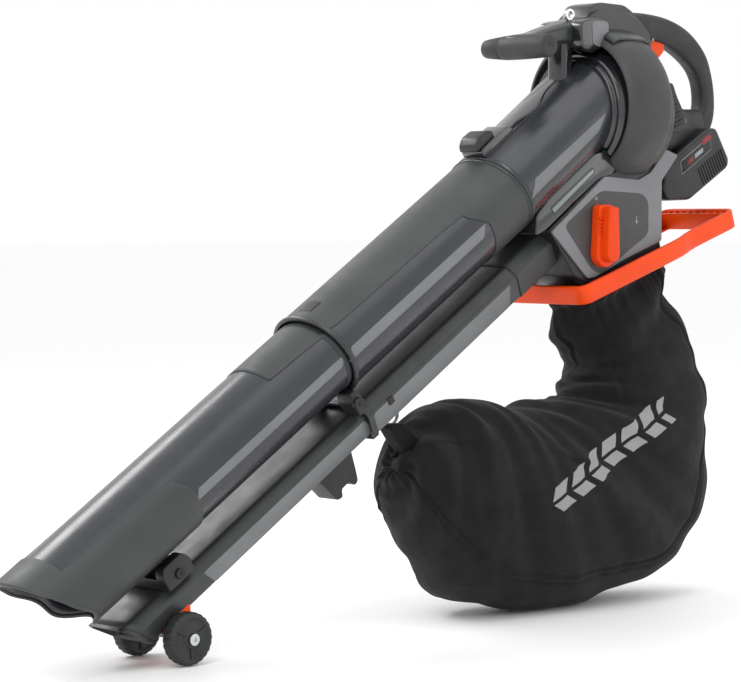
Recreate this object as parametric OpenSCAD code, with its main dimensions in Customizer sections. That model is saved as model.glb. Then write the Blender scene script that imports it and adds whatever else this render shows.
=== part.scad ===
// Cordless blower-vac: a suction tube and a blower tube side by side on one fan housing, with a
// diverter box, a rear D-handle, a front T-handle, a battery pack, two wheels and a debris bag.
// It stands on its wheels and on the bag. +Z is up, the nozzles point to -X, +Y is the far side,
// and the origin is on the flat base of the bag, in the middle plane.

/* [Stance] */
// Angle of the tubes above the floor, degrees
tilt = 33; // [30:0.5:36]
// Distance from the wheel axle to the origin under the bag
axle_reach = 604; // [520:1:680]

/* [Suction tube] */
// Half width of the lower suction tube
lower_half_w = 58; // [45:0.5:70]
// Half height of the lower suction tube
lower_half_h = 48; // [38:0.5:58]
// Wall of both suction tubes
tube_wall = 2.4; // [1.6:0.1:4]
// Length of the lower suction tube that shows
lower_len = 488; // [380:1:600]
// Length of the upper suction tube
upper_len = 347; // [300:1:400]
// How far the lower tube slides into the upper one
tube_lap = 42; // [25:1:60]
// Gap all round between the tubes where they slide together
tube_gap = 0.4; // [0.2:0.05:1]
// Length of the scuff sleeve over the suction mouth
shoe_len = 190; // [160:1:240]
// Thickness of the scuff sleeve
shoe_t = 2; // [1.5:0.1:4]
// Extra half width of the upper tube at its top end
upper_flare = 5; // [0:0.5:8]
// Slant of the suction mouth, degrees
mouth_slant = 33; // [10:1:40]

/* [Blower tube] */
// Half width of the lower blower tube
blow_half_w = 40; // [32:0.5:48]
// Height of the lower blower tube
blow_h = 37; // [28:0.5:46]
// Wall of both blower tubes
blow_wall = 2.2; // [1.5:0.1:3.5]
// Length of the lower blower tube that shows
blow_lower_len = 420; // [340:1:500]
// Gap between the suction tube and the blower tube
between_tubes = 9; // [6:0.5:14]

/* [Wheels] */
// Wheel radius
wheel_r = 30; // [24:0.5:36]
// Wheel width
wheel_w = 19; // [14:0.5:24]
// Axle radius
axle_r = 4; // [3:0.1:5]
// Running gap between wheel bore and axle
axle_fit = 0.05; // [0.02:0.01:0.1]
// Distance from the middle plane to a wheel's inner face
wheel_inner = 36; // [34:0.5:44]
// Axle distance below the bottom of the blower tube
axle_drop = 19; // [14:0.5:26]

/* [Fan] */
// Radius of the fan housing
drum_r = 88; // [76:1:100]
// Depth of the fan housing along its axis
drum_len = 100; // [80:1:120]
// Radius of the fan's inlet eye
eye_r = 67; // [54:1:74]
// Wall of the fan housing
drum_wall = 2.6; // [2:0.1:4]
// Gap between the impeller's rim and the housing's wall
impeller_gap = 9.4; // [2:0.1:14]
// Number of impeller blades
blades = 9; // [6:1:14]
// Radius of the motor can
motor_r = 31; // [24:1:38]
// Length of the motor can
motor_len = 46; // [36:1:60]
// Radius of the motor shaft
shaft_r = 4; // [3:0.1:5]

/* [Diverter] */
// Half width of the diverter box
box_half_w = 55; // [48:1:64]
// Wall of the diverter box
box_wall = 2.8; // [2:0.1:4]
// Length of the mode lever from its pivot
lever_len = 64; // [52:1:72]
// How far the mode lever turns, degrees
lever_travel = 50; // [30:1:60]

/* [Handles] */
// Half width of the rear handle
handle_half_w = 17; // [14:0.5:22]
// Thickness of the rear handle's grip seen from the side
handle_t = 40; // [32:0.5:46]
// Half length of the front grip bar
grip_half_len = 56; // [45:1:75]
// Radius of the front grip bar
grip_r = 12.5; // [10:0.5:16]

/* [Battery] */
// Length of the battery pack
batt_len = 113; // [90:1:130]
// Height of the battery pack
batt_h = 66; // [52:1:76]
// Width of the battery pack
batt_w = 76; // [62:1:90]

/* [Bag] */
// Half width of the bag
bag_half_w = 100; // [80:1:130]
// Height of the orange frame around the bag's mouth
frame_h = 24; // [18:0.5:30]
// Half width of the bag frame
frame_half_w = 70; // [66:0.5:80]
// Slope of the outlet and the bag frame, degrees
outlet_tilt = 18; // [12:1:24]

/* [Hidden] */
$fn = 64;

eps = 0.01;
gap = 0.3;

// Cross-section of the lower blower tube, which hangs under the suction tube
blow_top = -(lower_half_h + upper_step() + between_tubes + 10);
blow_bottom = blow_top - blow_h;
axle_h = blow_bottom - axle_drop;
axle_s = -(blow_lower_len - 67);
function upper_step() = tube_wall + tube_gap + 2.6;

// Mid joint of the suction tube, from where distances along the tubes (s) and across (h) run
tube_x = -axle_reach - axle_s * cos(tilt) + axle_h * sin(tilt);
tube_z = wheel_r - axle_s * sin(tilt) - axle_h * cos(tilt);
function at_x(s, h) = tube_x + s * cos(tilt) - h * sin(tilt);
function at_z(s, h) = tube_z + s * sin(tilt) + h * cos(tilt);

// Fan centre: the tube axis runs through the eye of the fan
eye_s = upper_len + 197;
fan_x = at_x(eye_s, 0);
fan_z = at_z(eye_s, 0);
drum_x = fan_x - 14;
drum_end = drum_x + drum_len;
box_top = fan_z - drum_r - gap;

impeller_r = drum_r - 2 - drum_wall - impeller_gap;

// Outlet plane under the diverter box
outlet_back = 21.644;
outlet_x = drum_x + outlet_back;
outlet_z = box_top - 105;

upper_w = lower_half_w + upper_step();
upper_h = lower_half_h + upper_step();

module along_tube(s = 0, h = 0)
  translate([tube_x, 0, tube_z]) rotate([0, -tilt, 0]) translate([s, 0, h]) children();
module at_fan(x = 0) translate([fan_x + x, 0, fan_z]) children();
module at_outlet() translate([outlet_x, 0, outlet_z]) rotate([0, -outlet_tilt, 0]) children();
// Extrudes a (y, z) outline along +X
module extrude_x(len) rotate([90, 0, 90]) linear_extrude(len) children();
// Extrudes an (x, z) outline along Y, from y0 to y1
module extrude_y(y0, y1) translate([0, y1, 0]) rotate([90, 0, 0]) linear_extrude(y1 - y0) children();
module cyl_x(r, len) rotate([0, 90, 0]) cylinder(r = r, h = len);
module cyl_y(r, len) rotate([90, 0, 0]) cylinder(r = r, h = len, center = true);
module oval(a, b) polygon([for (i = [0:63]) [a * cos(i * 5.625), b * sin(i * 5.625)]]);
module oval_tube(s0, s1, a, b, wall)
  translate([s0, 0, 0]) extrude_x(s1 - s0)
    difference() { oval(a, b); oval(a - wall, b - wall); }
// Six-sided section of the blower tubes, grown outwards by g
module blow_section(g = 0) {
  w = blow_half_w + g;
  polygon([[-w * 0.7, blow_top + g], [w * 0.7, blow_top + g], [w, blow_top - blow_h * 0.28],
           [w * 0.82, blow_bottom - g], [-w * 0.82, blow_bottom - g], [-w, blow_top - blow_h * 0.28]]);
}
module blow_tube(s0, s1, g) translate([s0, 0, 0]) extrude_x(s1 - s0)
  difference() { blow_section(g); blow_section(g - blow_wall); }

// ---------- suction tube ----------
module mouth_cut() translate([-lower_len, 0, lower_half_h]) rotate([0, -mouth_slant, 0])
  translate([-200, -100, -300]) cube([200, 200, 320]);
module suction_tube_lower() color("dimgray") along_tube() difference() {
  oval_tube(-lower_len, tube_lap, lower_half_w, lower_half_h, tube_wall);
  mouth_cut();
}
// Scuff sleeve clipped over the mouth of the lower tube
module nozzle_shoe() color("gray") along_tube() difference() {
  oval_tube(-lower_len, -lower_len + shoe_len, lower_half_w + shoe_t, lower_half_h + shoe_t, shoe_t - 0.02);
  mouth_cut();
  translate([-lower_len + shoe_len, 0, 0]) rotate([0, 35, 0]) translate([0, -100, -30]) cube([200, 200, 200]);
}
module suction_tube_upper() color("dimgray") along_tube() difference() {
  union() {
    difference() {
      extrude_x(upper_len) oval(upper_w, upper_h);
      translate([-1, 0, 0]) extrude_x(upper_len + 2) oval(upper_w - tube_wall, upper_h - tube_wall);
    }
    for (s = [0, upper_len - 7]) oval_tube(s, s + 7, upper_w + 2.2, upper_h + 2.2, 2.4);
    oval_tube(tube_lap + 2, tube_lap + 8, upper_w - tube_wall + 0.1, upper_h - tube_wall + 0.1, 3);
  }
  // snap slot on top of the joint
  translate([16, -7, upper_h - 8]) cube([14, 14, 20]);
}
module tube_seal() color("black") along_tube()
  oval_tube(20, 30, upper_w - tube_wall - 0.02, upper_h - tube_wall - 0.02,
            upper_w - tube_wall - lower_half_w - 0.04);
module duct_skin(g) hull() {
  along_tube(upper_len - 1) extrude_x(3) oval(upper_w - 3 - g, upper_h - 3 - g);
  at_fan(-16) cyl_x(eye_r - g, 2);
}
module inlet_duct() color("slategray") union() {
  difference() {
    hull() {
      along_tube(upper_len + 1) extrude_x(3) oval(upper_w + upper_flare - 2, upper_h + 3);
      at_fan(-16) cyl_x(eye_r, 2);
    }
    hull() {
      along_tube(upper_len - 2) extrude_x(3) oval(upper_w - 6, upper_h - 6);
      at_fan(-13.9) cyl_x(eye_r - 3, 2);
    }
  }
  // spigot inside the upper tube
  along_tube() oval_tube(upper_len - 34, upper_len + 3, upper_w - tube_wall - gap,
                         upper_h - tube_wall - gap, 2.6);
}
// Push button on top of the inlet that frees the suction tube
button_s = upper_len - 4;
button_h = upper_h + upper_flare + 6;
module tube_release_button() color("dimgray") along_tube(button_s, button_h) difference() {
  translate([0, -15, 6]) cube([40, 30, 16]);
  translate([-1, -20, 16]) rotate([0, -38, 0]) cube([20, 40, 20]);
  translate([20, 0, 5]) cylinder(r = 4.5, h = 6, $fn = 32);
}
module release_spring() color("silver") along_tube(button_s + 20, button_h - 1)
  difference() { cylinder(r = 4, h = 6.9, $fn = 32); translate([0, 0, -1]) cylinder(r = 3, h = 9, $fn = 32); }

// ---------- fan ----------
module volute_front() color("black") at_fan() difference() {
  union() {
    translate([-14, 0, 0]) rotate([0, 90, 0]) cylinder(r1 = eye_r + 4, r2 = drum_r - 2, h = 14);
    cyl_x(drum_r - 2, drum_len / 2 - 14);
  }
  translate([-14 + drum_wall, 0, 0]) rotate([0, 90, 0])
    cylinder(r1 = eye_r + 2, r2 = drum_r - 2 - drum_wall, h = 14 - drum_wall + eps);
  cyl_x(drum_r - 2 - drum_wall, drum_len);
  translate([-20, 0, 0]) cyl_x(eye_r - 3, 30);
  // outlet in the floor of the housing
  translate([2, -30, -drum_r - 5]) cube([60, 60, 40]);
}
module volute_rear() color("black") at_fan(drum_len / 2 - 14 + gap / 2) difference() {
  cyl_x(drum_r - 2, drum_len / 2 - gap);
  translate([-1, 0, 0]) cyl_x(drum_r - 2 - drum_wall, drum_len / 2 - gap - drum_wall + 1);
  cyl_x(motor_r + 0.6, 80);
  translate([-5, -30, -drum_r - 5]) cube([33, 60, 40]);
}
cover_x = 30;
module volute_cover() color("dimgray") at_fan(cover_x) difference() {
  union() {
    cyl_x(drum_r + 5, drum_len - 14 - cover_x - 8);
    translate([drum_len - 14 - cover_x - 8, 0, 0]) rotate([0, 90, 0])
      cylinder(r1 = drum_r + 5, r2 = drum_r - 1, h = 8);
  }
  translate([-1, 0, 0]) cyl_x(drum_r - 1.9, drum_len - 14 - cover_x + 1.2);
  translate([-1, 0, 0]) cyl_x(drum_r - 14, 200);
  // open below, where the diverter box starts
  translate([-5, -drum_r - 20, -drum_r - 20]) cube([200, 2 * drum_r + 40, 46]);
}
cap_x0 = drum_x + 30;
cap_z0 = fan_z + drum_r + 5.3;
cap_h = 40;
module top_cap() color("dimgray") difference() {
  extrude_y(-30, 30) polygon([[cap_x0, cap_z0 - 1], [cap_x0 + 8, cap_z0 + cap_h - 6],
    [cap_x0 + 16, cap_z0 + cap_h], [cap_x0 + 76, cap_z0 + cap_h - 2], [cap_x0 + 92, cap_z0 + cap_h - 12],
    [cap_x0 + 92, cap_z0 + 4], [cap_x0 + 84, cap_z0 - 8]]);
  at_fan(-30) cyl_x(drum_r + 5.3, 200);
  // lower rear corners are open to the rear handle
  translate([cap_x0 + 70, -handle_half_w - gap, cap_z0 - 20]) cube([60, 2 * handle_half_w + 2 * gap, 80]);
}
module impeller() color("darkgray") at_fan() difference() {
  union() {
    translate([30, 0, 0]) cyl_x(impeller_r, 3);
    translate([16, 0, 0]) cyl_x(13, 17);
    for (i = [0:blades - 1]) rotate([i * 360 / blades, 0, 0])
      translate([8, 10, -1.2]) cube([23, impeller_r - 12, 2.4]);
  }
  cyl_x(shaft_r, 60);
}
module impeller_nut() color("silver") at_fan() difference() {
  translate([10, 0, 0]) rotate([0, 90, 0]) cylinder(r = 8, h = 5.9, $fn = 6);
  cyl_x(shaft_r, 60);
}
motor_x = 40;
module motor_can() color("silver") at_fan(motor_x) difference() {
  cyl_x(motor_r, motor_len);
  translate([3, 0, 0]) cyl_x(motor_r - 6, motor_len - 6);
  translate([-1, 0, 0]) cyl_x(10.2, motor_len + 2);
}
module motor_rotor() color("peru") at_fan(motor_x + 7) difference() {
  cyl_x(motor_r - 7, motor_len - 14);
  translate([-1, 0, 0]) cyl_x(shaft_r, motor_len);
}
module motor_shaft() color("silver") at_fan(8) cyl_x(shaft_r, motor_x + motor_len - 6);
module motor_bearings() color("lightgray") for (x = [motor_x - 0.5, motor_x + motor_len - 6.5])
  at_fan(x) difference() { cyl_x(10, 6); translate([-1, 0, 0]) cyl_x(shaft_r + 0.05, 8); }

// ---------- rear body ----------
body_x = drum_end + gap;
batt_tilt = tilt - 3;
batt_x = body_x + 34;
batt_z = fan_z - 66;
function dock_line(x) = batt_z + (x - batt_x) * tan(batt_tilt);
module body_outline() polygon([
  [body_x, batt_z - 4], [batt_x, batt_z], [body_x + 128, dock_line(body_x + 128)],
  [body_x + 124, fan_z + 20], [body_x + 100, fan_z + 34], [body_x + 62, fan_z + 48],
  [body_x, fan_z + 62]]);
body_half_w = 44;
module motor_housing_half(side) color("dimgray") difference() {
  intersection() {
    extrude_y(-body_half_w, body_half_w) body_outline();
    translate([body_x - 10, side > 0 ? eps : -100 - eps, fan_z - 100]) cube([200, 100, 300]);
  }
  extrude_y(-body_half_w + 2.6, body_half_w - 2.6) offset(delta = -2.6) body_outline();
  // opening for the back of the motor, and slots that the vent grille covers
  at_fan(drum_len - 20) cyl_x(motor_r + 0.6, 10);
  for (i = [0:4])
    translate([body_x + 16 + i * 9, side * body_half_w - 5, fan_z + 4 - i * 2]) cube([5, 10, 26]);
}
module motor_housing_near() motor_housing_half(-1);
module motor_housing_far() motor_housing_half(1);
// Stepped cooling louvres on both flanks
module vent_grille() color("black") for (side = [-1, 1]) for (i = [0:4])
  mirror([0, side > 0 ? 0 : 1, 0]) translate([body_x + 14 + i * 9, body_half_w + eps, fan_z + 1 - i * 2])
    cube([3, 4 + i * 0.4, 32]);

// ---------- rear handle ----------
hx = body_x;
module handle_outline() difference() {
  offset(r = 14) offset(delta = -14) polygon([[hx + 6, fan_z + drum_r + 10], [hx + 6, fan_z + 134],
    [hx + 72, fan_z + 131], [hx + 134, fan_z + 120], [hx + 164, fan_z + 88],
    [hx + 180, fan_z + 26], [hx + 164, dock_line(hx + 164) + 1], [hx + 129, dock_line(hx + 129) + 1],
    [hx + 126, fan_z + 21], [hx + 101, fan_z + 36], [hx + 60, fan_z + 50], [hx + 8, fan_z + 63]]);
  offset(r = 10) offset(delta = -10) polygon([[hx - 40, fan_z + 58], [hx - 40, fan_z + 134 - handle_t],
    [hx + 72, fan_z + 131 - handle_t], [hx + 114, fan_z + 128 - handle_t * 1.15],
    [hx + 130, fan_z + 44], [hx + 112, fan_z + 34], [hx + 60, fan_z + 53]]);
}
module handle_half(side) color("dimgray") difference() {
  intersection() {
    extrude_y(-handle_half_w, handle_half_w) handle_outline();
    translate([hx, side > 0 ? eps : -60 - eps, fan_z - 60]) cube([260, 60, 300]);
  }
  extrude_y(-handle_half_w + 2.4, handle_half_w - 2.4) offset(delta = -2.4) handle_outline();
  translate([trig_x - 8, -9, trig_z - 12]) cube([46, 18, 30]);
  translate([trig_x, 0, trig_z]) cyl_y(2, 80);
}
module handle_shell_near() handle_half(-1);
module handle_shell_far() handle_half(1);
trig_x = hx + 34;
trig_z = fan_z + 99;
module trigger() color("orangered") difference() {
  extrude_y(-8, 8) polygon([[trig_x - 5, trig_z + 5], [trig_x + 30, trig_z + 4], [trig_x + 29, trig_z - 14],
    [trig_x + 20, trig_z - 22], [trig_x + 6, trig_z - 12], [trig_x - 5, trig_z - 4]]);
  translate([trig_x, 0, trig_z]) cyl_y(2.05, 40);
}
module trigger_pin() color("silver") translate([trig_x, 0, trig_z]) cyl_y(2, 30);
module trigger_spring() color("silver") translate([trig_x + 20, 0, trig_z + 4.6])
  difference() {
    cylinder(r = 3.5, h = 7.6, $fn = 32);
    translate([0, 0, -1]) cylinder(r = 2.6, h = 11, $fn = 32);
  }
module trigger_switch() color("black")
  translate([trig_x + 12, -8, trig_z + 14.4]) cube([24, 16, 11]);
module control_board() color("green")
  translate([body_x + 6, -30, fan_z - 44]) cube([40, 60, 2]);

// ---------- battery ----------
module at_batt() translate([batt_x, 0, batt_z]) rotate([0, -batt_tilt, 0]) children();
module battery_dock() color("black") at_batt() difference() {
  translate([-8, -batt_w / 2 + 6, -6]) cube([batt_len - 4, batt_w - 12, 5.6]);
  translate([6, -batt_w / 2 + 12, -7]) cube([batt_len + 5, batt_w - 24, 3]);
}
module terminal_block() color("gold") at_batt() for (y = [-12, -4, 4, 12])
  translate([4, y - 0.6, -9.4]) cube([20, 1.2, 3.3]);
module battery_pack() color("darkslategray") at_batt() difference() {
  translate([-12, -batt_w / 2, -6.4 - batt_h]) hull() {
    translate([4, 4, 0]) cube([batt_len - 8, batt_w - 8, batt_h]);
    translate([0, 4, 6]) cube([batt_len, batt_w - 8, batt_h - 6]);
    translate([4, 0, 6]) cube([batt_len - 8, batt_w, batt_h - 10]);
  }
  // terminal slots, and the seat of the latch button
  for (y = [-12, -4, 4, 12]) translate([-20, y - 1, -11]) cube([48, 2, 10]);
  translate([batt_len - 36, -14.3, -16]) cube([30, 28.6, 20]);
}
module battery_latch() color("firebrick") at_batt()
  translate([batt_len - 33, -14, -13]) cube([18, 28, 6.2]);

// ---------- diverter box ----------
function outlet_line(x) = outlet_z + (x - outlet_x) * tan(outlet_tilt);
box_x0 = drum_x - 105;
box_x1 = drum_end + 5;
front_top = [box_x0, fan_z - 148];
module box_outline() polygon([front_top, [drum_x - 14, box_top], [box_x1, box_top],
  [box_x1, outlet_line(box_x1)], [drum_x - 32, outlet_line(drum_x - 32)]]);
module blower_passage(g) along_tube() translate([upper_len - 60, 0, 0]) extrude_x(150) blow_section(g);
module box_half(side) color("gray") difference() {
  intersection() {
    extrude_y(-box_half_w, box_half_w) box_outline();
    translate([box_x0 - 10, side > 0 ? eps : -100 - eps, 0]) cube([400, 100, 900]);
  }
  extrude_y(-box_half_w + box_wall, box_half_w - box_wall) offset(delta = -box_wall) box_outline();
  intersection() {
    blower_passage(upper_g + gap);
    translate([box_x0 - 20, -100, 0]) cube([70, 200, 900]);
  }
  // fan outlet above, bag outlet below
  translate([fan_x + 2, -30, box_top - 10]) cube([60, 60, 20]);
  at_outlet() translate([-34, -box_half_w + 8, -20]) cube([68, 2 * box_half_w - 16, 40]);
  translate([pivot_x, 0, pivot_z]) cyl_y(lever_shaft_r + shaft_fit, 200);
}
module diverter_box_near() box_half(-1);
module diverter_box_far() box_half(1);
panel_t = 3;
module panel_outline() difference() {
  offset(r = 5) offset(delta = -5) polygon([front_top + [5, 0], [drum_x - 10, box_top - 1],
    [box_x1 + 2, box_top - 1], [box_x1 + 30, fan_z - 60], [box_x1 + 8, fan_z - 70],
    [box_x1 + 8, outlet_line(box_x1 + 8) + 4], [drum_x - 28, outlet_line(drum_x - 28) + 4]]);
}
module inset_outline() offset(r = 8) offset(delta = -8) polygon([[box_x0 + 24, fan_z - 148],
  [drum_x - 4, fan_z - 97], [box_x1 - 16, fan_z - 101], [box_x1 - 16, fan_z - 150],
  [drum_x + 22, outlet_line(drum_x + 22) + 8], [drum_x - 20, outlet_line(drum_x - 20) + 8]]);
module panel(side) color("darkgray") difference() {
  mirror([0, side > 0 ? 0 : 1, 0]) extrude_y(box_half_w + eps, box_half_w + panel_t) panel_outline();
  extrude_y(-box_half_w - 10, box_half_w + 10) offset(delta = 0.1) inset_outline();
}
module panel_near() panel(-1);
module panel_far() union() {
  panel(1);
  color("darkgray") extrude_y(box_half_w + eps, box_half_w + panel_t - 0.6)
    offset(delta = 0.1) inset_outline();
}
module panel_inset() color("dimgray") difference() {
  extrude_y(-box_half_w - panel_t + 0.6, -box_half_w - eps) inset_outline();
  translate([pivot_x, 0, pivot_z]) cyl_y(6, 200);
}
// Mode lever: straight up for collecting, tipped to the rear for blowing
pivot_x = outlet_x - 38;
pivot_z = outlet_z + 15;
lever_y = -box_half_w - panel_t - 0.4;
lever_shaft_r = 4.9;
shaft_fit = 0.05;
// The flap stands across the box when the lever is up, and opens the way to the bag
flap_rest = 68;
module mode_lever() color("orangered") translate([pivot_x, 0, pivot_z]) difference() {
  union() {
    extrude_y(lever_y - 10, lever_y) hull() {
      circle(r = 15);
      translate([0, lever_len - 10]) circle(r = 12);
    }
    extrude_y(lever_y - 24, lever_y - 9.9) hull() {
      circle(r = 9);
      translate([0, lever_len - 11]) circle(r = 8);
    }
  }
  cyl_y(lever_shaft_r, 2 * (box_half_w + panel_t + 12));
}
shaft_in = lever_y - 9.9;
shaft_out = box_half_w - 0.2;
module lever_shaft() color("silver") translate([pivot_x, (shaft_in + shaft_out) / 2, pivot_z])
  cyl_y(lever_shaft_r, shaft_out - shaft_in);
flap_len = 72;
module diverter_flap() color("black") translate([pivot_x, 0, pivot_z]) rotate([0, -flap_rest, 0])
difference() {
  union() {
    cyl_y(7.5, 2 * (box_half_w - box_wall) - 4);
    translate([0, -box_half_w + box_wall + 2, -1.5]) cube([flap_len, 2 * (box_half_w - box_wall - 2), 3]);
  }
  cyl_y(lever_shaft_r, 200);
}

// ---------- blower tube ----------
upper_g = 4;
module blower_tube_upper() color("dimgray") along_tube() difference() {
  union() { blow_tube(0, upper_len + 22, upper_g); blow_tube(0, 8, upper_g + 2); }
  translate([36, -blow_half_w - 20, blow_top - blow_h * 0.42 - 5]) cube([9, 2 * blow_half_w + 40, 9]);
}
module blower_tube_lower() color("dimgray") along_tube() union() {
  blow_tube(-blow_lower_len, tube_lap, 0);
  blow_tube(10, 16, upper_g - blow_wall - 0.1);
}
// Clip that ties the two lower tubes together, with a push button on its near side
clip_s = -322;
module clip_bracket() color("black") along_tube(clip_s) difference() {
  union() {
    for (side = [-1, 1]) translate([-20, side > 0 ? 20 : -44, blow_top + 0.05]) cube([40, 24, 26]);
    translate([-20, -44, blow_top + 0.05]) cube([40, 88, between_tubes + 2]);
  }
  translate([-50, 0, 0]) extrude_x(100) oval(lower_half_w + shoe_t + 0.05, lower_half_h + shoe_t + 0.05);
  translate([0, -38, blow_top + 11]) cyl_y(6.3, 20);
}
module clip_button() color("silver") along_tube(clip_s) translate([0, -42, blow_top + 11])
  difference() { cyl_y(6, 13); translate([0, 6, 0]) cyl_y(3, 6); }
module mid_bracket() color("black") along_tube(-14) difference() {
  union() {
    for (side = [-1, 1]) translate([0, side > 0 ? 24 : -50, blow_top + 2.1]) cube([12, 26, 30]);
    translate([0, -50, blow_top + 2.1]) cube([12, 100, between_tubes]);
  }
  translate([-5, 0, 0]) extrude_x(60) oval(lower_half_w + 0.05, lower_half_h + 0.05);
  translate([-5, 0, 0]) extrude_x(60) blow_section(0.05);
}
// Cup under the blower tube that the strap or a wall hook catches
foot_s = -54;
module foot_bracket() color("black") along_tube(foot_s) difference() {
  hull() {
    translate([-32, -17, blow_bottom - 6]) cube([64, 34, 6]);
    translate([-20, -14, blow_bottom - 44]) cube([40, 28, 4]);
  }
  translate([-22, -20, blow_bottom - 34]) cube([38, 40, 22]);
  translate([-12, -9, blow_bottom - 60]) cube([24, 18, 40]);
}
// ---------- wheels ----------
module wheel_bracket() color("orangered") along_tube(axle_s, axle_h) difference() {
  union() {
    for (side = [-1, 1]) translate([-14, side > 0 ? 24 : -32, -8]) cube([28, 8, axle_drop + 7.95]);
    translate([-14, -32, axle_drop - 5]) cube([28, 64, 4.95]);
  }
  cyl_y(axle_r, 100);
}
axle_half = wheel_inner + wheel_w + 2.8;
module axle() color("silver") translate([-axle_reach, 0, wheel_r]) cyl_y(axle_r, 2 * axle_half - 4);
module wheel(side) color("dimgray") translate([-axle_reach, side * (wheel_inner + wheel_w / 2), wheel_r])
  difference() {
    union() {
      cyl_y(wheel_r - 1.2, wheel_w);
      cyl_y(wheel_r, wheel_w - 5);
      cyl_y(10, wheel_w + 1);
    }
    difference() {
      for (s = [-1, 1]) translate([0, s * wheel_w / 2, 0]) cyl_y(wheel_r - 5, 4);
      cyl_y(11, wheel_w + 6);
    }
    cyl_y(axle_r + axle_fit, 100);
    // tread grooves
    for (i = [0:11]) rotate([0, i * 30, 0])
      translate([wheel_r - 1.5, -wheel_w, -1.2]) cube([4, 2 * wheel_w, 2.4]);
  }
module wheel_near() wheel(-1);
module wheel_far() wheel(1);
module axle_bolts() color("silver") for (side = [-1, 1])
  translate([-axle_reach, side * (axle_half - 2 + 1.5 + eps), wheel_r]) difference() {
    cyl_y(6.5, 3);
    translate([0, side * 1.5, 0]) rotate([90, 0, 0]) cylinder(r = 3, h = 3, center = true, $fn = 6);
  }

// ---------- front handle ----------
bar_x = drum_x - 103;
bar_z = fan_z + 79;
arm_x = drum_x - 26;
module front_arm() color("dimgray") union() {
  // ears that hold the strap ring's pin
  difference() {
    for (y = [-13.7, -7.7])
      translate([eye_x - 4, y, eye_z - eye_reach - 12]) cube([8, 1.4, 15]);
    translate([eye_x, 0, eye_z - eye_reach]) cyl_y(eye_pin_r, 60);
  }
  difference() {
    hull() {
      translate([cap_x0 + 6, 0, cap_z0 + 22]) cyl_y(15, 44);
      translate([bar_x, 0, bar_z]) cyl_y(grip_r + 4, 46);
    }
    at_fan(-60) cyl_x(drum_r + 5.3, 300);
    extrude_y(-31, 31) offset(delta = 0.05) polygon([[cap_x0, cap_z0 - 20], [cap_x0, cap_z0 - 1],
      [cap_x0 + 8, cap_z0 + cap_h - 6], [cap_x0 + 60, cap_z0 + cap_h + 40], [cap_x0 + 60, cap_z0 - 20]]);
    translate([bar_x, 0, bar_z]) cyl_y(grip_r + 0.02, 200);
    // slot that the strap ring swings in
    translate([eye_x - 20, -12.3, eye_z - eye_reach - 6]) cube([44, 4.6, 40]);
    translate([eye_x, 0, eye_z - eye_reach]) cyl_y(eye_pin_r, 60);
  }
  // post down to the top of the inlet
  difference() {
    translate([arm_x, 0, fan_z + 20]) cylinder(r = 9, h = 78);
    hull() {
      along_tube(upper_len + 1) extrude_x(3) oval(upper_w + upper_flare - 1.9, upper_h + 3.1);
      at_fan(-16) cyl_x(eye_r + 0.1, 2);
    }
  }
}
module front_grip() color("black") translate([bar_x, 0, bar_z]) union() {
  cyl_y(grip_r, 2 * grip_half_len - 8);
  cyl_y(grip_r - 2.5, 2 * grip_half_len);
}
// Chrome ring for a shoulder strap, in a slot on top of the front arm
eye_x = cap_x0 - 50;
eye_reach = 10;
eye_z = cap_z0 + cap_h - 10;
eyelet_r = 7.5;
eye_bore_r = 4.5;
eye_pin_r = 1.4;
module strap_eyelet() color("silver") translate([eye_x, -10, eye_z]) difference() {
  union() {
    cyl_y(eyelet_r, 4);
    translate([-2.4, -2, -eye_reach]) cube([4.8, 4, 5]);
    translate([0, 0, -eye_reach]) cyl_y(2.4, 4);
  }
  cyl_y(eye_bore_r, 20);
  translate([0, 0, -eye_reach]) cyl_y(eye_pin_r + 0.05, 20);
}
module eyelet_pin() color("silver") translate([eye_x, -10, eye_z - eye_reach]) cyl_y(eye_pin_r, 7.4);

// ---------- bag ----------
module ring_outline(g) offset(r = 16) offset(delta = -16)
  polygon([[-84 - g, -frame_half_w - g], [112, -frame_half_w - g], [142, -frame_half_w + 8 - g],
           [238 + g, -frame_half_w + 8 - g], [238 + g, frame_half_w - 8 + g], [142, frame_half_w - 8 + g],
           [112, frame_half_w + g], [-84 - g, frame_half_w + g]]);
latch_x = 97;
latch_z = -4;
catch_pin_r = 2;
module bag_frame() color("orangered") at_outlet() translate([0, 0, -frame_h - 1]) union() {
  // lugs that the catch turns in
  for (side = [-1, 1]) difference() {
    translate([latch_x - 5, side * 17 - 2.5, 0]) cube([10, 5, frame_h + latch_z + 5]);
    translate([latch_x, 0, frame_h + 1 + latch_z]) cyl_y(catch_pin_r + 0.05, 60);
  }
  difference() {
    linear_extrude(frame_h) ring_outline(0);
    translate([0, 0, -1]) linear_extrude(frame_h + 2) offset(delta = -6) ring_outline(0);
  }
  // flange that the bag's mouth and the outlet meet on
  difference() {
    translate([-80, -frame_half_w + 4, 0]) cube([184, 2 * frame_half_w - 8, 4]);
    translate([-66, -box_half_w + 8, -1]) cube([126, 2 * box_half_w - 16, 8]);
    translate([latch_x - 6, -11, -1]) cube([12, 22, 8]);
  }
}
module bag_latch() color("firebrick") at_outlet() translate([latch_x, 0, latch_z]) union() {
  cyl_y(3, 26);
  cyl_y(catch_pin_r, 40);
  translate([-1.5, -13, 0]) cube([4, 26, 18]);
  translate([-1, -8, -14]) cube([3.5, 16, 14]);
}
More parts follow.
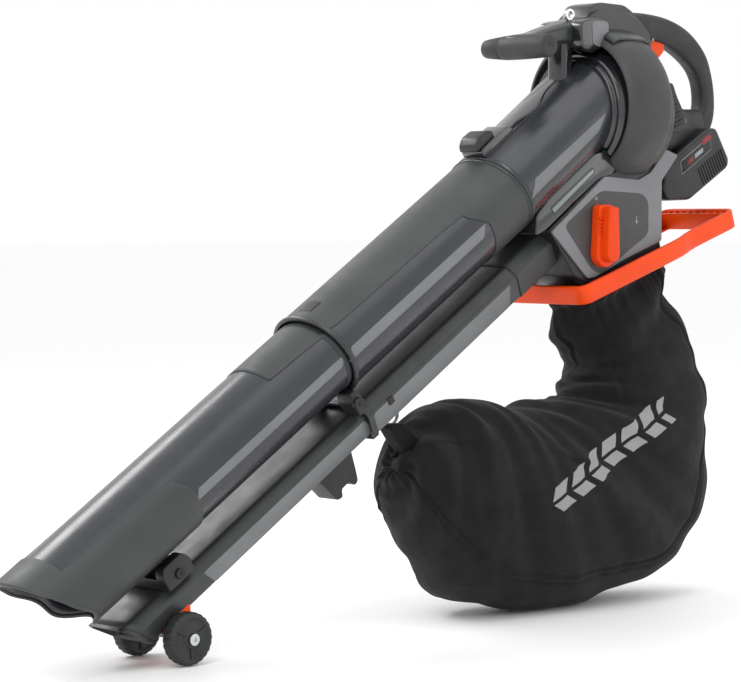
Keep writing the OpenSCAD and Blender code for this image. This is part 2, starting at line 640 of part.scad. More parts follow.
// One puffed lobe of the bag, flattened across
module lobe(x, z, r, w) translate([x, 0, z]) scale([1, w / r, 1]) sphere(r = r, $fn = 32);
module bag_neck() lobe(165, 291, 96, bag_half_w * 0.88);
module bag_back() lobe(190, 222, 108, bag_half_w * 0.95);
module bag_seat() lobe(130, 120, 124, bag_half_w);
module bag_toe() lobe(-90, 96, 100, bag_half_w * 0.92);
module bag_front() lobe(-148, 160, 108, bag_half_w * 0.86);
module bag() color("black") difference() {
  union() {
    hull() {
      at_outlet() translate([-76, -56, -frame_h - 6.5]) cube([148, 112, 5]);
      bag_neck();
    }
    hull() { bag_neck(); bag_back(); }
    hull() { bag_back(); bag_seat(); }
    hull() { bag_seat(); bag_toe(); bag_front(); }
  }
  translate([-600, -300, -200]) cube([1200, 600, 200]);
}
// Wire triangle that hangs the bag's front tip from the blower tube
module bag_hook() color("silver") along_tube(62) union() {
  difference() {
    translate([0, 0, blow_bottom - upper_g - 14]) cyl_y(13, 3);
    translate([0, 0, blow_bottom - upper_g - 14]) cyl_y(10.5, 5);
    translate([-20, -5, blow_bottom - upper_g - 0.05]) cube([40, 10, 10]);
  }
}
module screw_head(y) translate([0, y, 0]) difference() {
  cyl_y(3.6, 2.3);
  translate([0, -1.4, 0]) cyl_y(1.6, 2);
}
module housing_screws() color("silver") {
  for (p = [[body_x + 12, fan_z - 48], [body_x + 100, fan_z + 6], [body_x + 12, fan_z + 46]])
    translate([p[0], 0, p[1]]) screw_head(-body_half_w - 1.2);
  for (p = [[hx + 156, fan_z + 76], [hx + 160, fan_z + 24]])
    translate([p[0], 0, p[1]]) screw_head(-handle_half_w - 1.2);
  along_tube(-8) translate([0, -51.2, blow_top + 12]) cyl_y(4, 2.3);
}

suction_tube_lower();
nozzle_shoe();
suction_tube_upper();
tube_seal();
inlet_duct();
tube_release_button();
release_spring();
volute_front();
volute_rear();
volute_cover();
top_cap();
impeller();
impeller_nut();
motor_can();
motor_rotor();
motor_shaft();
motor_bearings();
motor_housing_near();
motor_housing_far();
vent_grille();
handle_shell_near();
handle_shell_far();
trigger();
trigger_pin();
trigger_spring();
trigger_switch();
control_board();
battery_dock();
terminal_block();
battery_pack();
battery_latch();
diverter_box_near();
diverter_box_far();
panel_near();
panel_far();
panel_inset();
mode_lever();
lever_shaft();
diverter_flap();
blower_tube_upper();
blower_tube_lower();
clip_bracket();
clip_button();
mid_bracket();
foot_bracket();
wheel_bracket();
axle();
wheel_near();
wheel_far();
axle_bolts();
front_arm();
front_grip();
strap_eyelet();
eyelet_pin();
bag_frame();
bag_latch();
bag();
bag_hook();
housing_screws();
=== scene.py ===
"""A cordless blower-vac: the looks of its moulded shells, tubes, handles, wheels and bag."""
import math
import bpy
import bmesh
import numpy as np
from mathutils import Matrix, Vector


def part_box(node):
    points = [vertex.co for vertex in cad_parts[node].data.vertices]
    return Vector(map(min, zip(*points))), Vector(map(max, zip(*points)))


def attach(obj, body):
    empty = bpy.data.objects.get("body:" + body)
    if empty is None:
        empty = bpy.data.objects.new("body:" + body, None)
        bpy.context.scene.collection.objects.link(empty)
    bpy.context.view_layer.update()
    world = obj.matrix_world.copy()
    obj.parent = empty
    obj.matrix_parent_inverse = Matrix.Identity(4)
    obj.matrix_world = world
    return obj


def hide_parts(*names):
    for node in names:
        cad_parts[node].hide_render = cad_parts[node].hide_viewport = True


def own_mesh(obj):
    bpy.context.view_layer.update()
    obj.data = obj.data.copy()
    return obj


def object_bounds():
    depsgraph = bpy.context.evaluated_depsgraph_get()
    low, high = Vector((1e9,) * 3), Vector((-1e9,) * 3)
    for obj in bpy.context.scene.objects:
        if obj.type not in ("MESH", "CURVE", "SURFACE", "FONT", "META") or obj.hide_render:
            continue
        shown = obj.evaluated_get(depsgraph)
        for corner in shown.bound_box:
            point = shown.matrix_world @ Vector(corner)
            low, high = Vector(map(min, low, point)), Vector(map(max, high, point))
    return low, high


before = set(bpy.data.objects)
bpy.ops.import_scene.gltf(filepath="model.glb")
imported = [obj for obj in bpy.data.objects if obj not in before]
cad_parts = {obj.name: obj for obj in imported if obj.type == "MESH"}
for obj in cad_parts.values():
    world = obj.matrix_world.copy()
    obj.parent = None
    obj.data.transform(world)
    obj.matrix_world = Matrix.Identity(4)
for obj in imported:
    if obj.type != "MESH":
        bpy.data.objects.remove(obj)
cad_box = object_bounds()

# ---------------------------------------------------------------- studio
# A pale seamless floor under a soft key light, a broad top light, a rim light from behind and a
# weak fill light, so that the dark shells show long soft highlights.
scene = bpy.context.scene
scene.view_settings.view_transform = "Standard"


def linear(code):
    """The linear colour (r, g, b, 1) of a six-digit screen colour."""
    v = np.array([int(code[i:i + 2], 16) for i in (0, 2, 4)]) / 255
    v = np.where(v <= 0.04045, v / 12.92, ((v + 0.055) / 1.055) ** 2.4)
    return (*[float(x) for x in v], 1.0)


def node_material(name):
    """A new node material, its tree and its Principled shader."""
    material = bpy.data.materials.new(name)
    material.use_nodes = True
    tree = material.node_tree
    return material, tree, tree.nodes["Principled BSDF"]


def noise(tree, scale, detail=2.0, stretch=(1, 1, 1)):
    """A noise texture over object coordinates, `scale` grains a metre, squeezed along each axis."""
    where = tree.nodes.new("ShaderNodeTexCoord")
    turn = tree.nodes.new("ShaderNodeMapping")
    turn.inputs["Scale"].default_value = stretch
    grain = tree.nodes.new("ShaderNodeTexNoise")
    grain.inputs["Scale"].default_value = scale
    grain.inputs["Detail"].default_value = detail
    tree.links.new(where.outputs["Object"], turn.inputs["Vector"])
    tree.links.new(turn.outputs["Vector"], grain.inputs["Vector"])
    return grain.outputs["Fac"]


def between(tree, fac, low, high):
    """The factor carried from 0-1 to low-high, for a roughness or a strength."""
    node = tree.nodes.new("ShaderNodeMapRange")
    node.inputs["From Min"].default_value = 0.3
    node.inputs["From Max"].default_value = 0.7
    node.inputs["To Min"].default_value = low
    node.inputs["To Max"].default_value = high
    tree.links.new(fac, node.inputs["Value"])
    return node.outputs["Result"]


def blend_colours(tree, fac, dark, light):
    """A colour between two screen colours, by a factor."""
    node = tree.nodes.new("ShaderNodeValToRGB")
    node.color_ramp.elements[0].position = 0.3
    node.color_ramp.elements[1].position = 0.7
    node.color_ramp.elements[0].color = linear(dark)
    node.color_ramp.elements[1].color = linear(light)
    tree.links.new(fac, node.inputs["Fac"])
    return node.outputs["Color"]


def bump(tree, height, depth, strength=1.0, under=None):
    """A bump of the given depth in metres, laid over another bump if there is one."""
    node = tree.nodes.new("ShaderNodeBump")
    node.inputs["Distance"].default_value = depth
    node.inputs["Strength"].default_value = strength
    tree.links.new(height, node.inputs["Height"])
    if under:
        tree.links.new(under, node.inputs["Normal"])
    return node.outputs["Normal"]


def moulded(name, dark, light, rough, grain, depth, coat=0.0, specular=0.5, metal=0.0):
    """Moulded plastic or drawn metal: a fine grain, faint flow marks, spots that handling has
    polished, and long thin scratches; `grain` is in grains a metre and `depth` in metres."""
    flow_marks, rubbed_spots, scratches = 9, 42, 260
    material, tree, shader = node_material(name)
    flow = noise(tree, flow_marks, 3.0, (1, 1, 2.5))
    rub = noise(tree, rubbed_spots, 5.0)
    fine = noise(tree, grain, 2.0)
    scratch = noise(tree, scratches, 1.0, (1, 6, 0.2))
    tree.links.new(blend_colours(tree, flow, dark, light), shader.inputs["Base Color"])
    tree.links.new(between(tree, rub, rough[0], rough[1]), shader.inputs["Roughness"])
    base = bump(tree, fine, depth)
    tree.links.new(bump(tree, scratch, depth * 0.35, 0.5, base), shader.inputs["Normal"])
    shader.inputs["Coat Weight"].default_value = coat
    shader.inputs["Coat Roughness"].default_value = 0.12
    shader.inputs["Specular IOR Level"].default_value = specular
    shader.inputs["Metallic"].default_value = metal
    return material


floor_size = 40.0
floor_mesh = bpy.data.meshes.new("studio_floor")
corners = np.array([(-1, -1, 0), (1, -1, 0), (1, 1, 0), (-1, 1, 0)]) * floor_size
floor_mesh.from_pydata((corners - (0, 0, 0.0005)).tolist(), [], [(0, 1, 2, 3)])
studio_floor = bpy.data.objects.new("studio_floor", floor_mesh)
scene.collection.objects.link(studio_floor)
floor_paint, _, floor_shader = node_material("floor_paint")
floor_shader.inputs["Base Color"].default_value = linear("fbfbfb")
floor_shader.inputs["Roughness"].default_value = 0.55
floor_mesh.materials.append(floor_paint)

world = bpy.data.worlds.new("studio")
scene.world = world
world.use_nodes = True
world.node_tree.nodes["Background"].inputs["Color"].default_value = (1, 1, 1, 1)
world.node_tree.nodes["Background"].inputs["Strength"].default_value = 1.0

middle = Vector((sum(c) / 2 for c in zip(*cad_box)))


def softbox(name, place, size, power):
    """A rectangular soft light at a place, turned to the middle of the machine."""
    light = bpy.data.lights.new(name, "AREA")
    light.shape = "RECTANGLE"
    light.size, light.size_y = size
    light.energy = power
    lamp = bpy.data.objects.new(name, light)
    lamp.location = place
    lamp.rotation_euler = (middle - Vector(place)).to_track_quat("-Z", "Y").to_euler()
    scene.collection.objects.link(lamp)


softbox("key_light", (-2.6, -1.2, 2.6), (1.2, 2.4), 34)
softbox("top_light", (0.4, -0.6, 3.2), (2.6, 2.0), 16)
softbox("rim_light", (-1.2, 2.2, 2.4), (2.8, 0.8), 46)
softbox("fill_light", (2.4, -2.6, 1.2), (1.6, 1.6), 8)

# The camera stands low and far off the near front corner, with a long lens.
focal_length = 126.15
camera_data = bpy.data.cameras.new("camera")
camera_data.lens = focal_length
camera_data.sensor_width = 36
camera_data.shift_x = -0.0329
camera_data.shift_y = 0.0291
camera = bpy.data.objects.new("camera", camera_data)
target = Vector((-0.2488, 0.0, 0.3191))
azimuth, elevation, distance = math.radians(-43.06), math.radians(3.17), 3.1195
camera.location = target + distance * Vector((
    math.sin(azimuth) * math.cos(elevation), -math.cos(azimuth) * math.cos(elevation),
    math.sin(elevation)))
camera.rotation_euler = (target - camera.location).to_track_quat("-Z", "Y").to_euler()
scene.collection.objects.link(camera)
scene.camera = camera

# ---------------------------------------------------------------- lower suction tube
# An oval blow-moulded tube of glossy dark polycarbonate. A matte scuff shoe with a scalloped
# mouth is clipped over its end, a matte sleeve sits under the joint, and a painted stripe
# runs down each side.
tilt = math.radians(33)
along = np.array([math.cos(tilt), 0, math.sin(tilt)])
across = np.array([-math.sin(tilt), 0, math.cos(tilt)])
side_out = np.array([0, -1.0, 0])


def centre_of(node_name):
    """The middle of a CAD piece's box."""
    return np.mean(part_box(node_name), axis=0)


# the joint is where the two suction tubes meet; the seal lies a little further up
seal_past_joint = 0.025
joint = centre_of("tube_seal") - seal_past_joint * along


def tube_point(s, angle, half_w, half_h):
    """joint + s along the tube + an oval section: 0 degrees is the near side, 90 is the top."""
    s, angle, half_w, half_h = np.broadcast_arrays(s, angle, half_w, half_h)
    return (joint + s[..., None] * along + (half_w * np.cos(angle))[..., None] * side_out
            + (half_h * np.sin(angle))[..., None] * across)


def surface(name, points, wrap=(True, True)):
    """A mesh of quads over a grid of points; a wrapped side joins its end to its start."""
    rows, columns = points.shape[:2]
    r = np.arange(rows if wrap[0] else rows - 1)
    c = np.arange(columns if wrap[1] else columns - 1)
    r, c = np.meshgrid(r, c, indexing="ij")
    r1, c1 = (r + 1) % rows, (c + 1) % columns
    quads = np.stack([r * columns + c, r * columns + c1, r1 * columns + c1, r1 * columns + c], -1)
    mesh = bpy.data.meshes.new(name)
    mesh.from_pydata(points.reshape(-1, 3).tolist(), [], quads.reshape(-1, 4).tolist())
    mesh.update()
    obj = bpy.data.objects.new(name, mesh)
    scene.collection.objects.link(obj)
    return obj


def finish_piece(obj, material, body="root", stands_for=(), weld=0.00001):
    """Welds doubles, turns the faces outwards, smooths, paints and places a new piece."""
    cage = bmesh.new()
    cage.from_mesh(obj.data)
    bmesh.ops.remove_doubles(cage, verts=cage.verts, dist=weld)
    bmesh.ops.recalc_face_normals(cage, faces=cage.faces)
    cage.to_mesh(obj.data)
    cage.free()
    obj.data.shade_smooth()
    obj.data.materials.append(material)
    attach(obj, body)
    if stands_for:
        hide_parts(*stands_for)
    return obj


def close_ends(obj):
    """Fills each open ring of edges with one face."""
    cage = bmesh.new()
    cage.from_mesh(obj.data)
    bmesh.ops.holes_fill(cage, edges=[e for e in cage.edges if e.is_boundary], sides=0)
    cage.to_mesh(obj.data)
    cage.free()


def modify(obj, kind, **values):
    """Adds a modifier with its values."""
    modifier = obj.modifiers.new(kind.lower(), kind)
    for key, value in values.items():
        setattr(modifier, key, value)
    return obj


gloss_grey = moulded("gloss_grey", "25272b", "2c2e33", (0.22, 0.30), 1400, 0.000006,
                     specular=0.6)
matte_grey = moulded("matte_grey", "2f3132", "37393a", (0.42, 0.56), 2600, 0.00004)
plate_paint = moulded("plate_paint", "6c6d70", "747579", (0.36, 0.48), 2200, 0.00003)
stripe_silver = moulded("stripe_silver", "66686a", "6e7072", (0.34, 0.46), 1800, 0.00001)

lower_half = (0.058, 0.048)
wall = 0.0024
lower_len = 0.488
mouth_slant = math.radians(33)
turn = np.linspace(0, 2 * np.pi, 160, endpoint=False)


def mouth_start(angle, half_h):
    """Where the slanted mouth cuts the tube: further up the tube on the underside, with scallops."""
    height = half_h * np.sin(angle)
    scallop = np.clip(-np.sin(angle) + 0.25, 0, 1) * np.cos(5 * (angle + np.pi / 2))
    return -lower_len + (lower_half[1] - height) * math.tan(mouth_slant) + 0.006 * scallop


def step(x, start, end):
    """A smooth step from 0 to 1 between start and end."""
    t = np.clip((x - start) / (end - start), 0, 1)
    return t * t * (3 - 2 * t)


def tube_shell(name, start, end, half, thickness, rows=40):
    """A closed wall: out along the outside from start(angle) to end(angle), and back inside."""
    t = np.concatenate([np.linspace(0, 1, rows), np.linspace(1, 0, rows)])[:, None]
    inset = np.concatenate([np.zeros(rows), np.full(rows, thickness)])[:, None]
    t[rows - 1] -= 0.0008
    t[0] += 0.0008
    s = start + (end - start) * t
    return surface(name, tube_point(s, turn[None, :], half[0] - inset, half[1] - inset))


lower_tube = tube_shell("lower_suction_tube", mouth_start(turn, lower_half[1])[None, :] + 0.003,
                        np.full((1, len(turn)), 0.042), lower_half, wall)
finish_piece(lower_tube, gloss_grey, stands_for=["suction_tube_lower"])

# how high each line of the section stands above the near or far side, in degrees
height_angle = np.degrees(np.arcsin(np.clip(np.sin(turn), -1, 1)))
shoe_half = (lower_half[0] + 0.0018, lower_half[1] + 0.0018)
shoe_long, shoe_short = -0.264, -0.443
shoe_end = shoe_long + (shoe_short - shoe_long) * step(height_angle, 39, 47)
shoe_end = shoe_end - 0.011 * step(height_angle, 12, 39) * (height_angle < 47)
shoe_start = mouth_start(turn, lower_half[1])
shoe_end = np.maximum(shoe_end, shoe_start + 0.020)
nozzle_shoe = tube_shell("scuff_shoe", shoe_start[None, :], shoe_end[None, :], shoe_half, 0.0019, 60)
modify(nozzle_shoe, "BEVEL", width=0.0005, segments=2, limit_method="ANGLE")
finish_piece(nozzle_shoe, matte_grey, stands_for=["nozzle_shoe"])

# rolled lip round the mouth
lip_turn = np.linspace(0, 2 * np.pi, 12, endpoint=False)[:, None]
lip_out = 0.0022 * np.cos(lip_turn)
lip = surface("mouth_lip", tube_point(shoe_start[None, :] + 0.0015 + 0.003 * np.sin(lip_turn),
                                      turn[None, :], shoe_half[0] - 0.001 + lip_out,
                                      shoe_half[1] - 0.001 + lip_out))
finish_piece(lip, matte_grey)

sleeve_start = -0.0905 * step(height_angle, 45.5, 50) - 0.006
sleeve_half = (lower_half[0] + 0.0009, lower_half[1] + 0.0009)
joint_sleeve = tube_shell("joint_sleeve", sleeve_start[None, :], np.zeros((1, len(turn))),
                          sleeve_half, 0.0011, 12)
finish_piece(joint_sleeve, matte_grey)


def stripe(name, s0, s1, low, high, half, lift=0.0006, slant=0.012):
    """A raised band along both sides of a tube, with slanted ends."""
    t = np.linspace(0, 1, 60)[:, None]
    a = np.radians(np.linspace(low, high, 8))[None, :]
    lean = slant * np.linspace(-0.5, 0.5, 8)[None, :]
    for word, angle in (("near", a), ("far", np.pi - a)):
        band = surface(name + "_" + word, tube_point(s0 + (s1 - s0) * t + lean, angle, half[0] + lift,
                                                     half[1] + lift), (False, False))
        modify(band, "SOLIDIFY", thickness=0.0008, offset=-1)
        finish_piece(band, stripe_silver)
        first_face = band.data.polygons[0]
        if first_face.normal.dot(Vector(side_out)) * (1 if word == "near" else -1) < 0:
            band.data.flip_normals()


stripe("lower_stripe", -0.262, -0.004, -4, 9, lower_half)

# ---------------------------------------------------------------- upper suction tube
# The wider upper tube: the same glossy core with a matte sleeve over its top and its upper end,
# a rolled ring at each end, and on top a near-black patch that paints the shade in the slot for the
# snap tongue.
upper_half = (0.0634, 0.0534)
upper_len = 0.347
upper_tube = tube_shell("upper_suction_tube", np.zeros((1, len(turn))),
                        np.full((1, len(turn)), upper_len), upper_half, wall)
finish_piece(upper_tube, gloss_grey, stands_for=["suction_tube_upper"])

window_end = 0.274 - 0.022 * step(height_angle, 5, 38)
upper_start = window_end * (1 - step(height_angle, 39.5, 43.5)) + 0.0005
upper_sleeve = tube_shell("upper_sleeve", upper_start[None, :], np.full((1, len(turn)), upper_len),
                          (upper_half[0] + 0.0009, upper_half[1] + 0.0009), 0.0011, 50)
finish_piece(upper_sleeve, matte_grey)


def rolled_ring(name, s, half, reach, depth, material):
    """A rounded hoop round the tube: a flattened circle carried round the oval."""
    ring_turn = np.linspace(0, 2 * np.pi, 16, endpoint=False)[:, None]
    out = depth * np.cos(ring_turn)
    hoop = surface(name, tube_point(s + reach * np.sin(ring_turn), turn[None, :], half[0] + out,
                                    half[1] + out))
    return finish_piece(hoop, material)


ring_grey = moulded("ring_grey", "262829", "2e3031", (0.24, 0.36), 1600, 0.00002)
rolled_ring("joint_ring", 0.0035, upper_half, 0.0036, 0.0026, ring_grey)
rolled_ring("top_ring", upper_len - 0.0015, upper_half, 0.0026, 0.0024, ring_grey)
stripe("upper_stripe", 0.004, 0.264, -2, 12, upper_half)

# A near-black sheet laid on the tube paints the shade inside the snap slot; the tube has no recess
# here.
snap_s = np.linspace(0.017, 0.036, 12)[:, None]
snap_angle = np.radians(np.linspace(80, 100, 12))[None, :]
snap_shade_sheet = surface("snap_slot_shade", tube_point(snap_s, snap_angle, upper_half[0] + 0.0012,
                                              upper_half[1] + 0.0012), (False, False))
modify(snap_shade_sheet, "SOLIDIFY", thickness=0.0008, offset=-1)
deep_black = moulded("deep_black", "08080a", "101011", (0.45, 0.6), 2000, 0.00003)
finish_piece(snap_shade_sheet, deep_black)

# ---------------------------------------------------------------- inlet duct
# A glossy moulding that blends from the oval tube to the round eye of the fan. It carries a
# painted stripe on each side with a thin dark-red line beside it that paints a red reflection,
# a fairing with a grey sight bar, and a push button on top that frees the tube.
shaft_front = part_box("motor_shaft")[0][0]
shaft_behind_fan = 0.008
fan = np.array([shaft_front - shaft_behind_fan, 0, centre_of("motor_can")[2]])
eye_radius = 0.067
eye_before_fan = 0.0145
eye_x = fan[0] - eye_before_fan
duct_s = upper_len + 0.001


def duct_point(t, angle, lift=0.0):
    """The straight blend from the tube's oval (t = 0) to the fan's eye (t = 1)."""
    t, angle, lift = np.broadcast_arrays(t, angle, lift)
    low = tube_point(duct_s, angle, upper_half[0] + 0.0025 + lift, upper_half[1] + 0.002 + lift)
    r = eye_radius + lift
    high = np.stack([np.full(t.shape, eye_x), -r * np.cos(angle), fan[2] + r * np.sin(angle)], -1)
    return low + (high - low) * t[..., None]


rows = 30
t = np.concatenate([np.linspace(0, 1, rows), np.linspace(1, 0, rows)])[:, None]
inner = np.concatenate([np.zeros(rows), np.full(rows, -0.0028)])[:, None]
duct = surface("inlet_duct_shell", duct_point(t, turn[None, :], inner))
finish_piece(duct, gloss_grey, stands_for=["inlet_duct"])


def duct_band(name, ends, lows, highs, lean, lift, thickness, material):
    """A raised band on the duct, on both sides: angles go from lows to highs over t in ends."""
    t = np.linspace(0, 1, 40)[:, None]
    v = np.linspace(0, 1, 8)[None, :]
    place = ends[0] + (ends[1] - ends[0]) * t + lean * (v - 0.5)
    low = lows[0] + (lows[1] - lows[0]) * t
    high = highs[0] + (highs[1] - highs[0]) * t
    a = np.radians(low + (high - low) * v)
    for word, angle in (("near", a), ("far", np.pi - a)):
        band = surface(name + "_" + word, duct_point(place, angle, lift), (False, False))
        modify(band, "SOLIDIFY", thickness=thickness, offset=0)
        finish_piece(band, material)


duct_band("duct_stripe", (0.06, 0.88), (-6, -7), (11, 6), 0.10, 0.0003, 0.0007,
          stripe_silver)
dark_red = moulded("dark_red", "6e1014", "7d1418", (0.3, 0.4), 1500, 0.00002)
# A thin dark-red line on each side is a painted reflection of red, not a real pinstripe.
duct_band("duct_red_reflection", (0.05, 0.80), (-25, -24), (-23.4, -22.6), 0.0, 0.0002, 0.0005,
          dark_red)
chrome = moulded("chrome", "b9bcbf", "c8cbce", (0.10, 0.20), 900, 0.000004, metal=1.0)
sight_grey = moulded("sight_grey", "6c7777", "798484", (0.12, 0.2), 1200, 0.00001, coat=0.4)

# a darker raised spine along the top, from the button to the handle post
spine_t = np.linspace(0.02, 0.98, 40)[:, None]
spine_v = np.linspace(0, 1, 16)[None, :]
spine_angle = np.radians(74 + 12 * step(spine_t, 0.5, 0.72)
                         + (32 - 24 * step(spine_t, 0.5, 0.72)) * spine_v)
spine = surface("duct_spine", duct_point(spine_t, spine_angle, 0.0006), (False, False))
modify(spine, "SOLIDIFY", thickness=0.0011, offset=0)
spine_gloss = moulded("spine_gloss", "15171a", "1b1d20", (0.10, 0.18), 1200, 0.000005, coat=0.7)
finish_piece(spine, spine_gloss)


def mm(*rows):
    """Rows of millimetres as metres."""
    return np.array(rows, float) / 1000


def through(points, count):
    """A Catmull-Rom curve through the rows of points, sampled evenly in its parameter."""
    p = np.asarray(points, float)
    p = np.vstack([2 * p[0] - p[1], p, 2 * p[-1] - p[-2]])
    x = np.linspace(0, len(p) - 3 - 1e-9, count)
    k = x.astype(int)
    f = (x - k)[:, None]
    a, b, c, d = p[k], p[k + 1], p[k + 2], p[k + 3]
    return 0.5 * (2 * b + (c - a) * f + (2 * a - 5 * b + 4 * c - d) * f ** 2
                  + (3 * b - a - 3 * c + d) * f ** 3)


def rounded(outline, radius, steps=5):
    """The outline with each corner replaced by a quadratic curve that starts `radius` before it."""
    p = np.asarray(outline, float)
    before, after = np.roll(p, 1, 0) - p, np.roll(p, -1, 0) - p
    reach_in = np.minimum(radius, 0.45 * np.linalg.norm(before, axis=1))[:, None]
    reach_out = np.minimum(radius, 0.45 * np.linalg.norm(after, axis=1))[:, None]
    a = p + before / np.linalg.norm(before, axis=1)[:, None] * reach_in
    b = p + after / np.linalg.norm(after, axis=1)[:, None] * reach_out
    f = np.linspace(0, 1, steps)[None, :, None]
    curve = (1 - f) ** 2 * a[:, None] + 2 * f * (1 - f) * p[:, None] + f ** 2 * b[:, None]
    return curve.reshape(-1, 2)


AXES = (np.zeros(3), np.array([1.0, 0, 0]), np.array([0, 0, 1.0]))


def plate(name, outline, start, end, bevel=0.001, axes=AXES, segments=3, out=(0, 1.0, 0)):
    """A plate: an outline in two axes, drawn from start to end along `out`, with rounded edges."""
    p = np.asarray(outline, float)
    flat = axes[0] + p[:, :1] * axes[1] + p[:, 1:] * axes[2]
    count = len(flat)
    out = np.asarray(out, float)
    points = np.vstack([flat + start * out, flat + end * out])
    k = np.arange(count)
    sides = np.stack([k, (k + 1) % count, (k + 1) % count + count, k + count], -1).tolist()
    mesh = bpy.data.meshes.new(name)
    mesh.from_pydata(points.tolist(), [], [k.tolist(), (k[::-1] + count).tolist()] + sides)
    obj = bpy.data.objects.new(name, mesh)
    scene.collection.objects.link(obj)
    if bevel:
        modify(obj, "BEVEL", width=bevel, segments=segments, limit_method="ANGLE",
               angle_limit=math.radians(30))
    return obj


SIDES = ((-1, "near"), (1, "far"))


def both_sides(name, outline, inner, outer, bevel, material, near_for=(), far_for=(),
               body="root", axes=AXES, segments=3):
    """The same plate on both flanks, from `inner` to `outer` metres off the middle plane. The
    side's word goes where the name has %s, or else at its end."""
    for side, word in SIDES:
        start, end = sorted((side * inner, side * outer))
        full_name = (name if "%s" in name else name + "_%s") % word
        finish_piece(plate(full_name, outline, start, end, bevel, axes, segments), material,
                     body, near_for if side < 0 else far_for)


fairing = rounded(mm((-64, 470), (-44, 478), (48, 540), (78, 548), (84, 562), (66, 578), (44, 574),
                     (-40, 516), (-62, 496)), 0.006)
bar_rim = rounded(mm((-38.5, 505.5), (39, 557), (43.5, 550), (-31, 496.5)), 0.0028)
bar_glass = rounded(mm((-36, 503.5), (38.5, 553.8), (41, 550.2), (-31, 499)), 0.0020)
both_sides("duct_fairing", fairing, 0.0300, 0.0560, 0.004, spine_gloss)
both_sides("duct_sight_rim", bar_rim, 0.0550, 0.0566, 0.0004, gloss_grey)
both_sides("duct_sight_bar", bar_glass, 0.0550, 0.0572, 0.0004, sight_grey)

tube_axes = (joint, along, across)
button_s = upper_len - 0.004
near_black = moulded("near_black", "121314", "1a1b1c", (0.36, 0.5), 2400, 0.00004)
push = rounded([(button_s + 0.001, 0.0655), (button_s + 0.038, 0.0655), (button_s + 0.038, 0.0745),
                (button_s + 0.030, 0.0795), (button_s + 0.012, 0.0800), (button_s + 0.003, 0.0735)],
               0.003)
push_button = plate("release_button_cap", push, -0.0145, 0.0145, 0.0022, tube_axes)
finish_piece(push_button, near_black, "release_button", ["tube_release_button"])
collar = rounded([(duct_s + 0.001, 0.054), (duct_s + 0.064, 0.056), (duct_s + 0.058, 0.0668),
                  (duct_s + 0.040, 0.0672), (duct_s + 0.001, 0.0650)], 0.004)
finish_piece(plate("release_button_seat", collar, -0.018, 0.018, 0.003, tube_axes),
             spine_gloss)

# ---------------------------------------------------------------- fan housing
# A drum whose axis lies fore and aft: a glossy front bowl with two rolled rims round the eye,
# a thick matte cover strapped over its rim, and a rear bowl that holds the motor.


def lathe(name, origin, axis, profile, steps=128, span=None):
    """A profile of (distance along the axis, radius), turned round the axis; span in degrees."""
    axis = np.array(axis, float)
    first = np.array([0, -1.0, 0]) if abs(axis[1]) < 0.5 else np.array([1.0, 0, 0])
    second = np.array([0, 0, 1.0])
    if span:
        a = np.radians(np.linspace(span[0], span[1], steps))
    else:
        a = np.linspace(0, 2 * np.pi, steps, endpoint=False)
    p = np.asarray(profile, float)
    ring = np.cos(a)[:, None] * first + np.sin(a)[:, None] * second
    points = (np.asarray(origin) + p[:, 0, None, None] * axis + p[:, 1, None, None] * ring[None])
    return surface(name, points, (True, not span))


rim_profile = [(-0.0158, 0.0640), (-0.0162, 0.0672), (-0.0150, 0.0692), (-0.0128, 0.0697),
               (-0.0112, 0.0703), (-0.0112, 0.0722), (-0.0122, 0.0735), (-0.0118, 0.0757),
               (-0.0098, 0.0770), (-0.0068, 0.0778), (-0.0032, 0.0800), (0.0016, 0.0826),
               (0.0080, 0.0846), (0.0160, 0.0858), (0.0350, 0.0860), (0.0350, 0.0836),
               (0.0080, 0.0820), (-0.0100, 0.0745), (-0.0110, 0.0650)]
front_bowl = lathe("fan_front_bowl", fan, (1, 0, 0), rim_profile)
modify(front_bowl, "SUBSURF", levels=1, render_levels=1)
finish_piece(front_bowl, spine_gloss, stands_for=["volute_front"])
cover_grey = moulded("cover_grey", "2e2f2f", "363737", (0.44, 0.58), 2600, 0.00005)
cover_profile = [(-0.0062, 0.0852), (-0.0060, 0.0872), (-0.0040, 0.0905), (0.0000, 0.0940),
                 (0.0060, 0.0975), (0.0140, 0.1003), (0.0240, 0.1018), (0.0400, 0.1020),
                 (0.0520, 0.1012), (0.0610, 0.0988), (0.0680, 0.0945), (0.0720, 0.0880),
                 (0.0722, 0.0740), (0.0700, 0.0740), (0.0620, 0.0860)]
cover_rise = 0.007
cover_middle = fan + (0, 0, cover_rise)
cover = lathe("fan_cover_band", cover_middle, (1, 0, 0), cover_profile, 120, (-63, 243))
close_ends(cover)
modify(cover, "BEVEL", width=0.0015, segments=3, limit_method="ANGLE", angle_limit=math.radians(50))
finish_piece(cover, cover_grey, stands_for=["volute_cover"])
rear_profile = [(0.036, 0.0860), (0.078, 0.0862), (0.0855, 0.0830), (0.0862, 0.0740),
                (0.0862, 0.0318), (0.0835, 0.0318), (0.0835, 0.0720), (0.0780, 0.0835),
                (0.036, 0.0836)]
rear_bowl = lathe("fan_rear_bowl", fan, (1, 0, 0), rear_profile)
finish_piece(rear_bowl, cover_grey, stands_for=["volute_rear"])

# ---------------------------------------------------------------- cap and front cross handle
# A ribbed cap bridges the drum and both handles. A flat arm runs forward from it to a grip bar
# in soft black plastic; a post props the arm on the duct, and a boss with a pale face pins it.


